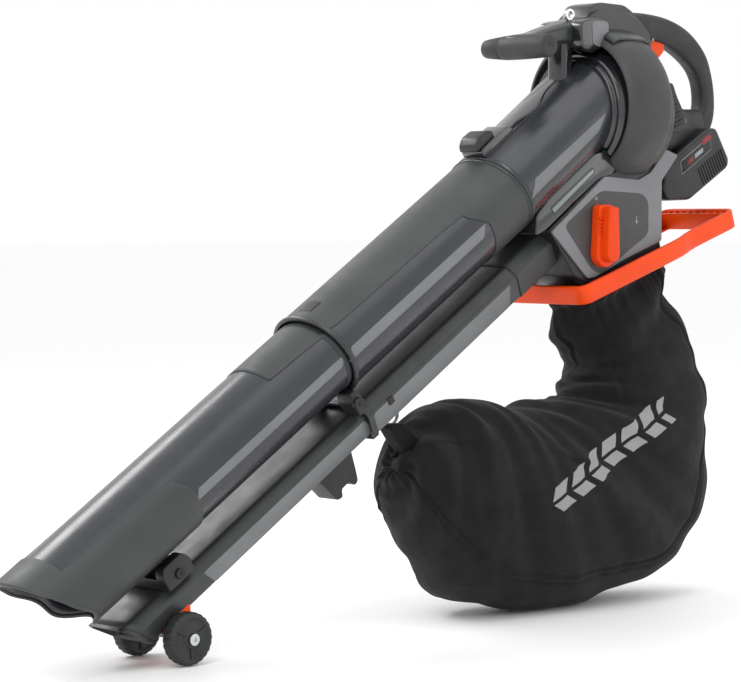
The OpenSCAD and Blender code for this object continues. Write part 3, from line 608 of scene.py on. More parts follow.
def spine_loft(name, path, power=2.6, steps=40, count=60, ends=(True, True)):
    """Superellipse sections along a curve in the middle plane: rows of x, z, half width, half
    thickness; an end that is closed rounds off over its own half thickness."""
    rows = through(path, count)
    centre, half_w, half_t = rows[:, :2], rows[:, 2], rows[:, 3]
    way = np.gradient(centre, axis=0)
    way /= np.linalg.norm(way, axis=1)[:, None]
    dome = np.sin(np.linspace(0, 1, 8)[1:] * np.pi / 2)
    shrink = np.sqrt(np.clip(1 - dome ** 2, 0, 1))
    parts = [(centre, half_w, half_t, way)]
    if ends[0]:
        reach = min(half_t[0], half_w[0]) * 0.7
        parts.insert(0, (centre[0] - way[0] * reach * dome[::-1, None], half_w[0] * shrink[::-1],
                         half_t[0] * shrink[::-1], np.repeat(way[:1], 7, 0)))
    if ends[1]:
        reach = min(half_t[-1], half_w[-1]) * 0.7
        parts.append((centre[-1] + way[-1] * reach * dome[:, None], half_w[-1] * shrink,
                      half_t[-1] * shrink, np.repeat(way[-1:], 7, 0)))
    centre, half_w, half_t, way = (np.concatenate(p) for p in zip(*parts))
    a = np.linspace(0, 2 * np.pi, steps, endpoint=False)[None, :]
    c, s = np.cos(a), np.sin(a)
    out = np.sign(c) * np.abs(c) ** (2 / power) * half_w[:, None]
    up = np.sign(s) * np.abs(s) ** (2 / power) * half_t[:, None]
    x = centre[:, :1] - way[:, 1:] * up
    z = centre[:, 1:] + way[:, :1] * up
    obj = surface(name, np.stack([x, out + 0 * x, z], -1), (False, True))
    return obj


cap = plate("handle_cap", rounded(mm((52, 712), (56, 736), (70, 752), (84, 757), (136, 756),
                                     (160, 745), (180, 726), (178, 706), (150, 712), (90, 716)),
                                  0.008), -0.0300, 0.0300, 0.007)
finish_piece(cap, ring_grey, stands_for=["top_cap"])
cap_crest = plate("handle_cap_crest", rounded(mm((62, 744), (72, 762.5), (88, 767), (134, 766),
                                                 (152, 757.5), (172, 738), (150, 736), (70, 738)),
                                              0.006), -0.0225, 0.0225, 0.006)
finish_piece(cap_crest, ring_grey)
saddle = lathe("handle_cap_saddle", cover_middle, (1, 0, 0),
               [(-0.0010, 0.0950), (0.0010, 0.0985), (0.0100, 0.1032), (0.0240, 0.1046),
                (0.0560, 0.1040), (0.0700, 0.1010), (0.0720, 0.0960)], 60, (56, 124))
modify(saddle, "SOLIDIFY", thickness=0.004, offset=-1)
finish_piece(saddle, ring_grey)

bar_low, bar_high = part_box("front_grip")
bar = centre_of("front_grip")[[0, 2]]
arm = spine_loft("cross_handle_arm", [(bar[0] - 0.002, bar[1] + 0.001, 0.020, 0.0148),
                                      (bar[0] + 0.022, bar[1] + 0.007, 0.0185, 0.0128),
                                      (0.006, 0.7195, 0.019, 0.0125),
                                      (0.034, 0.7255, 0.022, 0.0145),
                                      (0.062, 0.7290, 0.026, 0.0190)], power=3.6)
finish_piece(arm, ring_grey, stands_for=["front_arm"])
soft_black = moulded("soft_black", "222323", "2a2b2b", (0.5, 0.64), 3200, 0.00007)
grip_half = (bar_high[1] - bar_low[1]) / 2
grip_profile = [(-grip_half, 0.0004), (-grip_half, 0.0122), (-grip_half + 0.0010, 0.0138),
                (-grip_half + 0.0030, 0.0145), (-0.0300, 0.0152), (-0.0100, 0.0155),
                (0.0150, 0.0153), (0.0220, 0.0150), (0.0224, 0.0145), (0.0228, 0.0148),
                (grip_half - 0.0080, 0.0124), (grip_half - 0.0020, 0.0114),
                (grip_half, 0.0094), (grip_half, 0.0004)]
grip = lathe("cross_handle_grip", (bar[0], 0, bar[1]), (0, 1, 0), grip_profile, 64)
finish_piece(grip, soft_black, stands_for=["front_grip"])

post_before_fan, post_depth = 0.0400, 0.86
post_x = fan[0] - post_before_fan
post_rows = np.array([(0.0210, 0.642), (0.0185, 0.650), (0.0160, 0.658), (0.0148, 0.668),
                      (0.0145, 0.690), (0.0150, 0.706), (0.0180, 0.722)])
post_turn = np.sign(np.cos(turn)) * np.abs(np.cos(turn)) ** 0.7
post_rise = np.sign(np.sin(turn)) * np.abs(np.sin(turn)) ** 0.7
post = surface("cross_handle_post", np.stack([
    post_x + post_rows[:, :1] * post_depth * post_turn[None, :],
    post_rows[:, :1] * post_rise[None, :],
    np.broadcast_to(post_rows[:, 1:], (len(post_rows), len(turn)))], -1), (False, True))
finish_piece(post, spine_gloss)

boss_outline = rounded(mm((36, 740), (60, 746), (90, 743), (92, 722), (76, 706), (56, 700),
                          (38, 708)), 0.009)
face_outline = rounded(mm((57, 739), (70, 742), (88, 741), (87, 724), (73, 708), (59, 712)), 0.005)
both_sides("handle_boss", boss_outline, 0.0140, 0.0370, 0.0030, spine_gloss)
both_sides("handle_boss_face", face_outline, 0.0365, 0.0378, 0.0004, plate_paint)

# ---------------------------------------------------------------- rear handle and motor housing
# Two mirrored clamshells screwed together, each drawn here as one closed form: a D-shaped handle,
# and the motor housing that tapers from the drum to the handle's foot. A block with five slots
# and lips on each flank lets the motor breathe; each slot is a near-black plate that paints the
# shade inside it.
handle = spine_loft("rear_handle", mm((150, 742, 15, 17), (190, 742, 15, 17.5),
                                      (232, 737, 15, 18), (268, 724, 15, 18.5),
                                      (297, 703, 14.5, 16.5), (311, 680, 14, 13.5),
                                      (316.5, 655, 14, 13), (315, 632, 14, 14.5),
                                      (304, 612, 15, 17)), power=2.9, count=100, steps=56)
handle_grey = moulded("handle_grey", "191a1a", "202121", (0.44, 0.6), 2800, 0.00006)
finish_piece(handle, handle_grey,
             stands_for=["handle_shell_near", "handle_shell_far"])
housing = spine_loft("motor_housing", mm((140, 624, 60, 62), (166, 622, 56, 58),
                                         (196, 619, 43, 49), (228, 613, 32, 38),
                                         (262, 611, 22, 28), (298, 618, 16, 20)),
                     power=3.2, count=60, steps=56)
finish_piece(housing, handle_grey,
             stands_for=["motor_housing_near", "motor_housing_far"])
louvre_block = rounded(mm((180, 668), (206, 668), (214, 652), (226, 634), (233, 618), (220, 604),
                          (180, 604)), 0.004)
both_sides("louvre_block", louvre_block, 0.0200, 0.0440, 0.0020, handle_grey,
           ["vent_grille"])
lip_rise = 0.0028
# Each slot is a near-black plate under its lip: painted shade where the vent opening is dark.
for k in range(5):
    x, z = 0.2000 + 0.0046 * k, 0.6570 - 0.0100 * k
    slot_shade_shape = rounded([(x - 0.012, z - 0.0050), (x + 0.0060, z + 0.0022),
                          (x + 0.0068, z - 0.0012), (x - 0.012, z - 0.0084)], 0.0010)
    lip_shape = [(a, b + lip_rise) for a, b in slot_shade_shape]
    both_sides("louvre_slot_shade_%%s_%d" % k, slot_shade_shape, 0.0400, 0.0446, 0.0, deep_black)
    both_sides("louvre_lip_%%s_%d" % k, lip_shape, 0.0420, 0.0456, 0.0006, handle_grey)
screw_steel = moulded("screw_steel", "6f7173", "7d7f81", (0.22, 0.34), 1600, 0.00001, metal=1.0)
for k, (x, z, y) in enumerate(((0.186, 0.588, -0.0480), (0.252, 0.6205, -0.0250),
                               (0.3085, 0.6960, -0.0138), (0.3150, 0.6420, -0.0132),
                               (0.240, 0.7390, -0.0144))):
    screw = lathe("shell_screw_%d" % k, (x, 0, z), (0, 1, 0),
                  [(y + 0.0010, 0.0002), (y + 0.0010, 0.0010), (y, 0.0012), (y, 0.0026),
                   (y + 0.0004, 0.0030), (y + 0.0030, 0.0030), (y + 0.0030, 0.0002)], 24)
    finish_piece(screw, screw_steel, stands_for=["housing_screws"] if k == 0 else ())

# ---------------------------------------------------------------- battery pack
# A slide-on pack of glass-filled nylon with a ribbed flank, a pale outlined label plate and a
# red catch at its upper rear corner. It slides out along its dock.
pack_outline = rounded(mm((200, 562), (286, 611.5), (303, 612), (330, 571), (327, 560),
                          (250, 516.5), (206, 515), (196, 530)), 0.005)
pack_half_w = 0.0368
pack = plate("battery_case", pack_outline, -pack_half_w, pack_half_w, 0.0045)
pack_black = moulded("pack_black", "0e0f0f", "151616", (0.34, 0.5), 2200, 0.00006)
finish_piece(pack, pack_black, "battery", ["battery_pack"])
pack_tilt = math.radians(30)
flank = np.array([math.cos(pack_tilt), 0, math.sin(pack_tilt)])
flank_up = np.array([-flank[2], 0, flank[0]])
pack_axes = (np.array([0.262, 0, 0.5665]), flank, flank_up)
label_grey = moulded("label_grey", "8d8f90", "999b9c", (0.3, 0.4), 1500, 0.00001)
rib_pitch, rib_width = 0.0052, 0.0026
for k in range(11):
    x = -0.002 + rib_pitch * k
    both_sides("battery_rib_%%s_%d" % k, [(x, -0.034), (x + rib_width, -0.034),
                                          (x + rib_width, -0.009), (x, -0.009)],
               0.0360, pack_half_w + 0.0010, 0.0004, pack_black, body="battery",
               axes=pack_axes, segments=2)
label_skew = 0.35
for part, (x0, x1, z0, z1), lift, material, slot in (
        ("rim", (-0.034, 0.034, 0.000, 0.0165), 0.0002, label_grey, "light_grey"),
        ("ground", (-0.0332, 0.0332, 0.0008, 0.0157), 0.0004, pack_black, "dark_plastic"),
        ("bar_red", (-0.020, -0.006, 0.0055, 0.0110), 0.0007, dark_red, "red_latch"),
        ("bar_pale", (-0.003, 0.016, 0.0055, 0.0110), 0.0007, label_grey, "light_grey")):
    shape = rounded([(x + label_skew * z, z) for x, z in ((x0, z0), (x1, z0), (x1, z1), (x0, z1))],
                    0.0015)
    both_sides("battery_label_" + part, shape, 0.0360, pack_half_w + lift, 0.0, material,
               body="battery", axes=pack_axes)
catch_axes = (centre_of("battery_latch") * (1, 0, 1), flank, flank_up)
catch = plate("battery_catch", rounded([(-0.010, -0.004), (0.011, -0.004), (0.011, 0.003),
                                        (-0.004, 0.004), (-0.010, 0.001)], 0.002),
              -0.0375, 0.0375, 0.0012, catch_axes)
catch_red = moulded("catch_red", "7c0a0f", "8f1014", (0.3, 0.42), 1800, 0.00003)
finish_piece(catch, catch_red, "battery_button", ["battery_latch"])

# ---------------------------------------------------------------- diverter box and mode lever
# Two dark half shells joined in the middle plane, a pale side plate on each with a grey inset,
# and the orange mode lever on its shaft, which swings a flap inside the box.
half_box = -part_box("diverter_box_near")[0][1]
box_outline = rounded(mm((-38, 478), (50, 540), (150, 575), (169, 560), (169, 461), (173, 449),
                         (37, 404.5), (8, 420)), 0.003)
box_shell = plate("diverter_shell", box_outline, -half_box, half_box, 0.002)
finish_piece(box_shell, near_black,
             stands_for=["diverter_box_near", "diverter_box_far"])
plate_outline = rounded(mm((-37, 475), (60, 545), (124, 541.5), (147, 551), (176, 581),
                           (200, 574), (168.5, 541), (168.5, 463.5), (98, 440), (42, 418),
                           (29, 416.5)), 0.003)
inset_outline = rounded(mm((-15, 483), (52, 527), (130, 524), (142, 514), (142, 472), (97, 447),
                           (54, 422), (36, 427)), 0.009)
inset_grey = moulded("inset_grey", "39393a", "404041", (0.46, 0.6), 3000, 0.00006)
both_sides("side_plate", plate_outline, 0.0548, 0.0583, 0.0009, plate_paint,
           ["panel_near"], ["panel_far"])
both_sides("side_inset", inset_outline, 0.0560, 0.0588, 0.0004, inset_grey,
           ["panel_inset"])
arrow = [(-0.0007, -0.005), (0.0007, -0.005), (0.0007, 0.0012), (0.0030, 0.0012), (0.0, 0.0052),
         (-0.0030, 0.0012), (-0.0007, 0.0012)]
for word, place, turned in (("up", (0.043, 0.5145), 1), ("down", (0.119, 0.4900), -1)):
    mark = plate("mode_arrow_" + word, [(place[0] + x, place[1] + turned * z) for x, z in arrow],
                 -0.0590, -0.0586, 0.0)
    finish_piece(mark, label_grey)

lever_orange = moulded("lever_orange", "da3c04", "e84809", (0.34, 0.46), 1800, 0.00002,
                       specular=0.22)
pivot = centre_of("lever_shaft")[[0, 2]]
lever_length = 0.0475


def capsule(low_radius, high_radius, reach, flat=1.0):
    """A long rounded outline round the pivot: a low arc, and a squarer high arc."""
    a = np.radians(np.linspace(180, 360, 24))
    b = np.radians(np.linspace(0, 180, 24))
    square = lambda v: np.sign(v) * np.abs(v) ** flat
    low = pivot + low_radius * np.stack([np.cos(a), np.sin(a)], 1)
    high = pivot + (0, reach) + high_radius * np.stack([square(np.cos(b)), square(np.sin(b))], 1)
    return np.vstack([low, high])


lever_base = plate("mode_lever_base", capsule(0.0172, 0.0140, lever_length, 0.45),
                   -0.0730, -0.0590, 0.0024)
finish_piece(lever_base, lever_orange, "mode_lever_body", ["mode_lever"])
lever_ridge = plate("mode_lever_ridge", capsule(0.0112, 0.0092, lever_length + 0.002, 0.45),
                    -0.0860, -0.0700, 0.0032)
finish_piece(lever_ridge, lever_orange, "mode_lever_body")
for k in range(5):
    z = pivot[1] + 0.024 + 0.0046 * k
    rib = plate("mode_lever_rib_%d" % k,
                rounded([(pivot[0] - 0.0148, z), (pivot[0] - 0.0100, z),
                         (pivot[0] - 0.0100, z + 0.002), (pivot[0] - 0.0148, z + 0.002)], 0.0006),
                -0.0755, -0.0710, 0.0005)
    finish_piece(rib, lever_orange, "mode_lever_body")

# ---------------------------------------------------------------- orange bag frame
# A glass-filled orange loop that the bag's mouth is sewn to. It hooks under the box, slopes up to
# the rear and ends in a carrying bar, a channel stiffened with slanted ribs.
frame_slope = math.radians(18)
frame_x = np.array([math.cos(frame_slope), 0, math.sin(frame_slope)])
frame_z = np.array([-math.sin(frame_slope), 0, math.cos(frame_slope)])
# the middle of the box's outlet, which the frame hooks under
outlet = np.array([0.086, 0, 0.43293])
loop = rounded(mm((-84, -70), (112, -70), (142, -62), (238, -62), (238, 62), (142, 62),
                  (112, 70), (-84, 70)), 0.016, 9)
loop_way = np.roll(loop, -1, 0) - np.roll(loop, 1, 0)
loop_way /= np.linalg.norm(loop_way, axis=1)[:, None]
loop_in = np.stack([-loop_way[:, 1], loop_way[:, 0]], 1)


def frame_point(x, y, z):
    """A point of the frame's own sloping axes in the machine's axes."""
    return outlet + np.asarray(x)[..., None] * frame_x + np.asarray(y)[..., None] * (0, 1.0, 0) \
        + np.asarray(z)[..., None] * frame_z


def loop_band(name, section):
    """A closed (inset, height) section carried round the frame's loop."""
    section = np.asarray(section, float)
    flat = loop[None] + section[:, 0, None, None] * loop_in[None]
    high = np.broadcast_to(section[:, 1, None], flat.shape[:2])
    return surface(name, frame_point(flat[..., 0], flat[..., 1], high))


frame_orange = moulded("frame_orange", "e04004", "ee4c0a", (0.32, 0.44), 1600, 0.00002,
                       specular=0.22)
band = loop_band("bag_frame_loop", [(0.0, -0.0235), (0.0, -0.0022), (0.0005, -0.0012),
                                    (0.0015, -0.001), (0.0045, -0.001), (0.0055, -0.0014),
                                    (0.006, -0.0025), (0.006, -0.0238), (0.0045, -0.025),
                                    (0.0012, -0.025)])
finish_piece(band, frame_orange, stands_for=["bag_frame"])
ledge = loop_band("bag_frame_ledge", [(0.005, -0.0225), (0.016, -0.0225), (0.016, -0.0250),
                                      (0.005, -0.0250)])
finish_piece(ledge, frame_orange)
loop_axes = (outlet, frame_x, np.array([0, 1.0, 0]))
inner_wall = plate("bag_frame_inner_wall", mm((217, -57), (220, -57), (220, 57), (217, 57)),
                   -0.0240, -0.0015, 0.0008, loop_axes, 3, frame_z)
finish_piece(inner_wall, frame_orange)
for k in range(9):
    y = -50 + 11.5 * k
    rib = plate("bag_frame_rib_%d" % k,
                mm((219, y), (219, y + 2.4), (234, y + 10.4), (234, y + 8)),
                -0.0200, -0.0030, 0.0004, loop_axes, 2, frame_z)
    finish_piece(rib, frame_orange)

# ---------------------------------------------------------------- blower tubes
# Two six-sided tubes that slide together under the suction tubes, with a slanted mouth, a pale
# painted facet along each side and a hooped collar at the joint.
blow_low, blow_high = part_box("blower_tube_lower")
mouth_rim = 0.0018
blow_half_w = (blow_high[1] - blow_low[1]) / 2 - mouth_rim
blow_top, blow_h, blow_len = -0.0724, 0.037, 0.412
blow_bottom = blow_top - blow_h
shoulder, top_width, bottom_width = 0.28, 0.7, 0.82


def blow_section(grow):
    """The six-sided section (y, height), grown outwards, with small rounded corners."""
    w = blow_half_w + grow
    mid = blow_top - blow_h * shoulder
    top, bottom = blow_top + grow, blow_bottom - grow
    return rounded([(-w * top_width, top), (w * top_width, top), (w, mid),
                    (w * bottom_width, bottom), (-w * bottom_width, bottom), (-w, mid)], 0.004, 7)


def blow_tube(name, start, end, grow, wall_t, material, stands_for=()):
    """A closed wall along the tube: start and end are functions of the section's height."""
    outer, inner = blow_section(grow), blow_section(grow - wall_t)
    count = 30
    t = np.linspace(0, 1, count)[:, None]
    parts = []
    for ring, way in ((outer, t), (inner, t[::-1])):
        s = start(ring[:, 1])[None, :] * (1 - way) + end(ring[:, 1])[None, :] * way
        parts.append(joint + s[..., None] * along + ring[None, :, :1] * (0, 1.0, 0)
                     + ring[None, :, 1:] * across)
    return finish_piece(surface(name, np.concatenate(parts)), material,
                        stands_for=stands_for)


tube_dark = moulded("tube_dark", "282a2b", "303233", (0.30, 0.44), 2000, 0.00004)
mouth = lambda h: -blow_len + (blow_top - h) * math.tan(mouth_slant)
flat_end = lambda s: lambda h: np.full(np.shape(h), s)
blow_tube("blower_tube_low", mouth, flat_end(0.042), 0.0, 0.0022, tube_dark,
          ["blower_tube_lower"])
blow_tube("blower_mouth_lip", lambda h: mouth(h) - 0.0004, lambda h: mouth(h) + 0.0045, 0.0007,
          0.0022, tube_dark)
blow_tube("blower_tube_high", flat_end(0.0), flat_end(upper_len + 0.020), 0.004, 0.0022,
          tube_dark, ["blower_tube_upper"])
blow_tube("blower_collar", flat_end(-0.0008), flat_end(0.0075), 0.0062, 0.0024, ring_grey)
blow_tube("blower_root_collar", flat_end(upper_len - 0.052), flat_end(upper_len + 0.030), 0.0052,
          0.0014, matte_grey)


def blow_facet(name, s0, s1, grow, low, high, material, lean=0.012):
    """A thin raised plate on each lower side facet, from low to high across it."""
    w = blow_half_w + grow
    top_edge = np.array([w, blow_top - blow_h * shoulder])
    low_edge = np.array([w * bottom_width, blow_bottom - grow])
    normal = np.array([top_edge[1] - low_edge[1], -(top_edge[0] - low_edge[0])])
    normal /= np.linalg.norm(normal)
    e1, e2 = low_edge + (top_edge - low_edge) * low, low_edge + (top_edge - low_edge) * high
    for side, word in SIDES:
        down = np.array([0, side * (e1 - e2)[0], 0]) + (e1 - e2)[1] * across
        height = np.linalg.norm(down)
        start = joint + np.array([0, side * e2[0], 0]) + e2[1] * across
        outline = rounded([(s0, 0), (s1, 0), (s1 + lean, height), (s0 + lean, height)], 0.004)
        out = np.array([0, side * normal[0], 0]) + normal[1] * across
        finish_piece(plate(name + "_" + word, outline, -0.0006, 0.0006, 0.0002,
                           (start, along, down / height), 2, out), material)


blow_facet("blower_facet_low", -0.292, -0.004, 0.0, 0.06, 0.90, stripe_silver)
blow_facet("blower_facet_high", 0.010, upper_len - 0.066, 0.004, 0.06, 0.90, stripe_silver,
           -0.010)
snap_low = plate("blower_snap_tab", rounded([(0.036, -0.0925), (0.045, -0.0925), (0.045, -0.0835),
                                             (0.036, -0.0835)], 0.001), -0.0450, 0.0450, 0.0005,
                 tube_axes)
finish_piece(snap_low, deep_black)

# ---------------------------------------------------------------- wheels
# Two hard rubber wheels that turn on a steel axle: a faceted tread, a rolled rim and a recessed
# disc with three ribs on each face.
rubber = moulded("rubber", "1d1e1f", "262727", (0.5, 0.66), 2600, 0.00008)
for node_name, body in (("wheel_near", "near_wheel"), ("wheel_far", "far_wheel")):
    low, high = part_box(node_name)
    hub = centre_of(node_name)
    radius, drawn_radius = (high[2] - low[2]) / 2, 0.0300
    rim = [(-0.0096, 0.0042), (-0.0096, 0.0095), (-0.0080, 0.0102), (-0.0074, 0.0110),
           (-0.0072, 0.0210), (-0.0078, 0.0222), (-0.0092, 0.0232), (-0.0094, 0.0262),
           (-0.0082, 0.0282), (-0.0060, 0.0296), (-0.0040, 0.0299)]
    profile = np.array(rim + [(-y, r) for y, r in rim[::-1]])
    wheel_steps = 240
    a = np.linspace(0, 2 * np.pi, wheel_steps, endpoint=False)[None, :]
    r = profile[:, 1:] * radius / drawn_radius
    groove_depth, grooves = 0.0011, 24
    facet = np.clip((profile[:, 1:] - 0.024) / 0.006, 0, 1) * groove_depth
    r = r - facet * (0.5 - 0.5 * np.cos(grooves * a)) ** 3
    wheel = surface(node_name + "_tyre", np.stack([hub[0] + r * np.cos(a),
                                                   hub[1] + profile[:, :1] + 0 * a,
                                                   hub[2] + r * np.sin(a)], -1))
    finish_piece(wheel, rubber, body, [node_name])
    for face in (-1, 1):
        for k in range(3):
            turn_k = math.radians(30 + 120 * k)
            spoke_x = np.array([math.cos(turn_k), 0, math.sin(turn_k)])
            spoke_z = np.array([-math.sin(turn_k), 0, math.cos(turn_k)])
            y0, y1 = sorted((face * 0.0070, face * 0.0088))
            spoke = plate("%s_rib_%d_%s" % (node_name, k, "out" if face > 0 else "in"),
                          rounded([(0.0098, -0.0017), (0.0232, -0.0013), (0.0232, 0.0013),
                                   (0.0098, 0.0017)], 0.0006), y0, y1, 0.0005,
                          (hub, spoke_x, spoke_z), 2)
            finish_piece(spoke, rubber, body)

# ---------------------------------------------------------------- brackets and fasteners
# Black nylon brackets tie the tubes together: a saddle with a push button near the foot, a clamp
# with a boss behind the joint, and a cup that hangs below. An orange bracket holds the axle.
clip_below_joint, clamp_below_joint, foot_below_joint = 0.322, 0.014, 0.054
clip_axes = (joint - clip_below_joint * along, along, across)
clip_saddle = rounded(mm((-21, -71), (21, -71), (21, -53), (15, -44), (-15, -44), (-21, -53)), 0.004)
both_sides("clip_cheek", clip_saddle, 0.0300, 0.0455, 0.0016, near_black,
           ["clip_bracket"], axes=clip_axes)
clip_band = plate("clip_band", rounded(mm((-21, -71.8), (21, -71.8), (21, -56), (-21, -56)), 0.002),
                  -0.0440, 0.0440, 0.001, clip_axes)
finish_piece(clip_band, near_black)
clip_at = clip_axes[0] - 0.0614 * across
button_profile = [(-0.0475, 0.0003), (-0.0482, 0.0022), (-0.0490, 0.0046), (-0.0488, 0.0056),
                  (-0.0475, 0.0060), (-0.0370, 0.0060), (-0.0370, 0.0003)]
clip_cap = lathe("clip_button_cap", clip_at, (0, 1, 0), button_profile, 48)
finish_piece(clip_cap, deep_black, "clip_push_button", ["clip_button"])

mid_axes = (joint - clamp_below_joint * along, along, across)
clamp_outline = rounded(mm((0, -71), (13, -71), (13, -48), (9, -40), (1, -40), (-2, -52)), 0.002)
both_sides("mid_clamp", clamp_outline, 0.0250, 0.0520, 0.0014, near_black,
           ["mid_bracket"], axes=mid_axes)
mid_boss = lathe("mid_clamp_boss", mid_axes[0] + 0.004 * along - 0.0560 * across, (0, 1, 0),
                 [(-0.0560, 0.0002), (-0.0560, 0.0036), (-0.0564, 0.0040), (-0.0575, 0.0060),
                  (-0.0570, 0.0072), (-0.0540, 0.0078), (-0.0500, 0.0080), (-0.0500, 0.0002)], 48)
finish_piece(mid_boss, near_black)

foot_axes = (joint - foot_below_joint * along, along, across)
foot_cup = plate("foot_cup", rounded(mm((-33, -110), (32, -110), (24, -140), (20, -153), (13, -155),
                                        (8, -146), (-6, -146), (-10, -155), (-19, -153),
                                        (-25, -132)), 0.003), -0.0165, 0.0165, 0.0018, foot_axes)
foot_cut = plate("foot_cup_window", rounded(mm((-17, -121), (14, -121), (11, -139), (-13, -139)),
                                            0.003), -0.03, 0.03, 0.0002, foot_axes)
modify(foot_cup, "BOOLEAN", object=foot_cut, operation="DIFFERENCE", solver="EXACT")
bpy.data.objects.remove(foot_cut)
finish_piece(foot_cup, near_black, stands_for=["foot_bracket"])

bracket_axes = (centre_of("axle") * (1, 0, 1), along, across)
ear_shape = rounded(mm((-9, -8), (9, -8), (20, 4), (32, 24), (-12, 24), (-14, 4)), 0.005)
both_sides("wheel_ear", ear_shape, 0.0270, 0.0345, 0.0012, frame_orange,
           ["wheel_bracket"], axes=bracket_axes)
bridge = plate("wheel_bridge", mm((-14, 18), (16, 18), (16, 24), (-12, 24)), -0.030, 0.030, 0.001,
               bracket_axes)
finish_piece(bridge, frame_orange)

# ---------------------------------------------------------------- collection bag
# Black woven polyester, lofted from the frame's mouth round to a hanging toe. Two side panels
# are sewn to a gusset strip, so a corded seam follows the outline on each flank; the cloth
# gathers under the frame, buckles in the inner bend and sags flat where it lies on the floor.
# rows of inner x and z, outer x and z, and half width, from the mouth to the toe
bag_path = mm((34, 394, 214, 450, 61), (44, 372, 206, 428, 60), (62, 338, 214, 384, 64),
              (76, 304, 250, 330, 76), (74, 280, 282, 244, 88), (56, 264, 280, 158, 97),
              (20, 259, 246, 74, 103), (-20, 258, 174, 21, 105), (-56, 258, 84, 1, 105),
              (-92, 260, -14, 0, 103), (-124, 263, -102, 9, 99), (-154, 265, -172, 44, 92),
              (-184, 260, -220, 96, 79), (-214, 243, -242, 143, 56),
              (-236, 216, -250, 177, 27), (-243, 204, -250, 190, 7))
slimmer = 0.93
rings, turns = 340, 272
bag_rows = through((1, 1, 1, 1, slimmer) * bag_path, rings)
v = np.linspace(0, 2 * np.pi, turns, endpoint=False)[None, :]
u = np.linspace(0, 1, len(bag_rows))[:, None]
inner_x, inner_z, outer_x, outer_z, half = (bag_rows[:, k:k + 1] for k in range(5))
squareness = 2 / 2.35
c, s = np.cos(v), np.sin(v)
c, s = np.sign(c) * np.abs(c) ** squareness, np.sign(s) * np.abs(s) ** squareness
bag_grid = np.stack([(inner_x + outer_x) / 2 + (outer_x - inner_x) / 2 * c, half * s,
                     (inner_z + outer_z) / 2 + (outer_z - inner_z) / 2 * c], -1)


def grid_normals(points):
    """Unit normals of a grid that wraps along its columns, pointing out of the loft."""
    normal = np.cross(np.gradient(points, axis=0),
                      np.roll(points, -1, 1) - np.roll(points, 1, 1))
    normal /= np.maximum(np.linalg.norm(normal, axis=2, keepdims=True), 1e-9)
    return -normal if (normal[40, 0] * (bag_grid[40, 0] - bag_grid[40, turns // 2])).sum() < 0 \
        else normal


def fold(where, width):
    """A rounded ridge at zero of the argument, one high."""
    return np.exp(-(where / width) ** 2)


far_v = np.abs(np.angle(np.exp(1j * (v - np.pi))))
gather = np.exp(-(u / 0.13) ** 2) * (1 - np.exp(-(u / 0.012) ** 2))
lift = 0.0011 * gather * np.sin(19 * v + 2.2 * np.sin(3 * v) + 9 * u)
lift += 0.0005 * gather * np.sin(41 * v + 3 * np.sin(5 * v) - 14 * u)
for k, (place, lean, deep, width) in enumerate((
        (0.155, 0.030, 0.0030, 0.016), (0.215, -0.012, 0.0046, 0.013), (0.265, -0.030, 0.0050, 0.013),
        (0.33, -0.026, 0.0040, 0.013), (0.42, 0.018, 0.0028, 0.014), (0.52, 0.030, 0.0026, 0.016),
        (0.61, -0.020, 0.0030, 0.014))):
    spread = 0.95 + 0.25 * math.sin(2.4 * k)
    waver = lean * far_v + 0.006 * np.sin(3 * v + k)
    lift -= deep * fold(u - place - waver, width) * np.exp(-(far_v / spread) ** 2)
    lift += 0.55 * deep * fold(u - place - waver - 1.6 * width, width * 1.1) \
        * np.exp(-(far_v / spread) ** 2)
for k, (turns_u, turns_v, tall, phase) in enumerate((
        (3.1, 2, 0.0042, 0.4), (5.3, 3, 0.0026, 2.1), (7.9, 1, 0.0022, 4.0), (9.7, 4, 0.0016, 1.2),
        (14.3, 5, 0.0010, 3.3), (21.7, 3, 0.0007, 0.9))):
    lift += tall * np.sin(2 * np.pi * turns_u * u + turns_v * v + phase
                          + 0.8 * np.sin(2 * v + 5 * u + k))
for k in range(9):
    u0, v0, slope = 0.16 + 0.09 * k, 2.0 + 2.3 * math.sin(1.9 * k + 0.4), 3.2 * math.sin(2.7 * k)
    across_fold = v - v0 - slope * (u - u0)
    lift += 0.0022 * fold(across_fold, 0.05) * fold(u - u0, 0.055)
    lift -= 0.0018 * fold(across_fold - 0.09, 0.06) * fold(u - u0, 0.060)
back_v = np.angle(np.exp(1j * v))
for place, lean, deep, width in ((0.085, 0.035, 0.0080, 0.018), (0.185, 0.045, 0.0100, 0.020),
                                 (0.300, -0.030, 0.0035, 0.018)):
    crease = u - place - lean * np.abs(back_v)
    lift -= deep * fold(crease, width) * fold(back_v, 1.15)
    lift += 0.55 * deep * fold(crease + 1.9 * width, width * 1.3) * fold(back_v, 1.0)
    lift += 0.45 * deep * fold(crease - 1.9 * width, width * 1.4) * fold(back_v, 0.9)
toe_gather = np.exp(-((u - 0.97) / 0.06) ** 2)
lift += 0.0016 * toe_gather * np.sin(13 * v + 2 * np.sin(2 * v))
lift *= np.clip(u / 0.02, 0, 1) * np.clip((1 - u) / 0.03, 0, 1)
for seam in (0.92, -0.92):
    near_seam = np.angle(np.exp(1j * (v - seam)))
    lift += 0.0020 * fold(near_seam, 0.016) * np.clip((1 - u) / 0.06, 0, 1)
    lift -= 0.0016 * (fold(near_seam - 0.045, 0.03) + fold(near_seam + 0.045, 0.03)) \
        * np.clip((1 - u) / 0.06, 0, 1)
    lift += 0.0006 * fold(near_seam, 0.10) * np.sin(170 * u + 3 * np.sin(23 * u)) \
        * np.clip((1 - u) / 0.06, 0, 1)
bag_grid = bag_grid + lift[..., None] * grid_normals(bag_grid)
low = bag_grid[..., 2]
rest = 0.012
low = np.where(low < rest,
               0.0004 + rest * 0.5 * np.exp((np.minimum(low, rest) - rest) / rest), low)
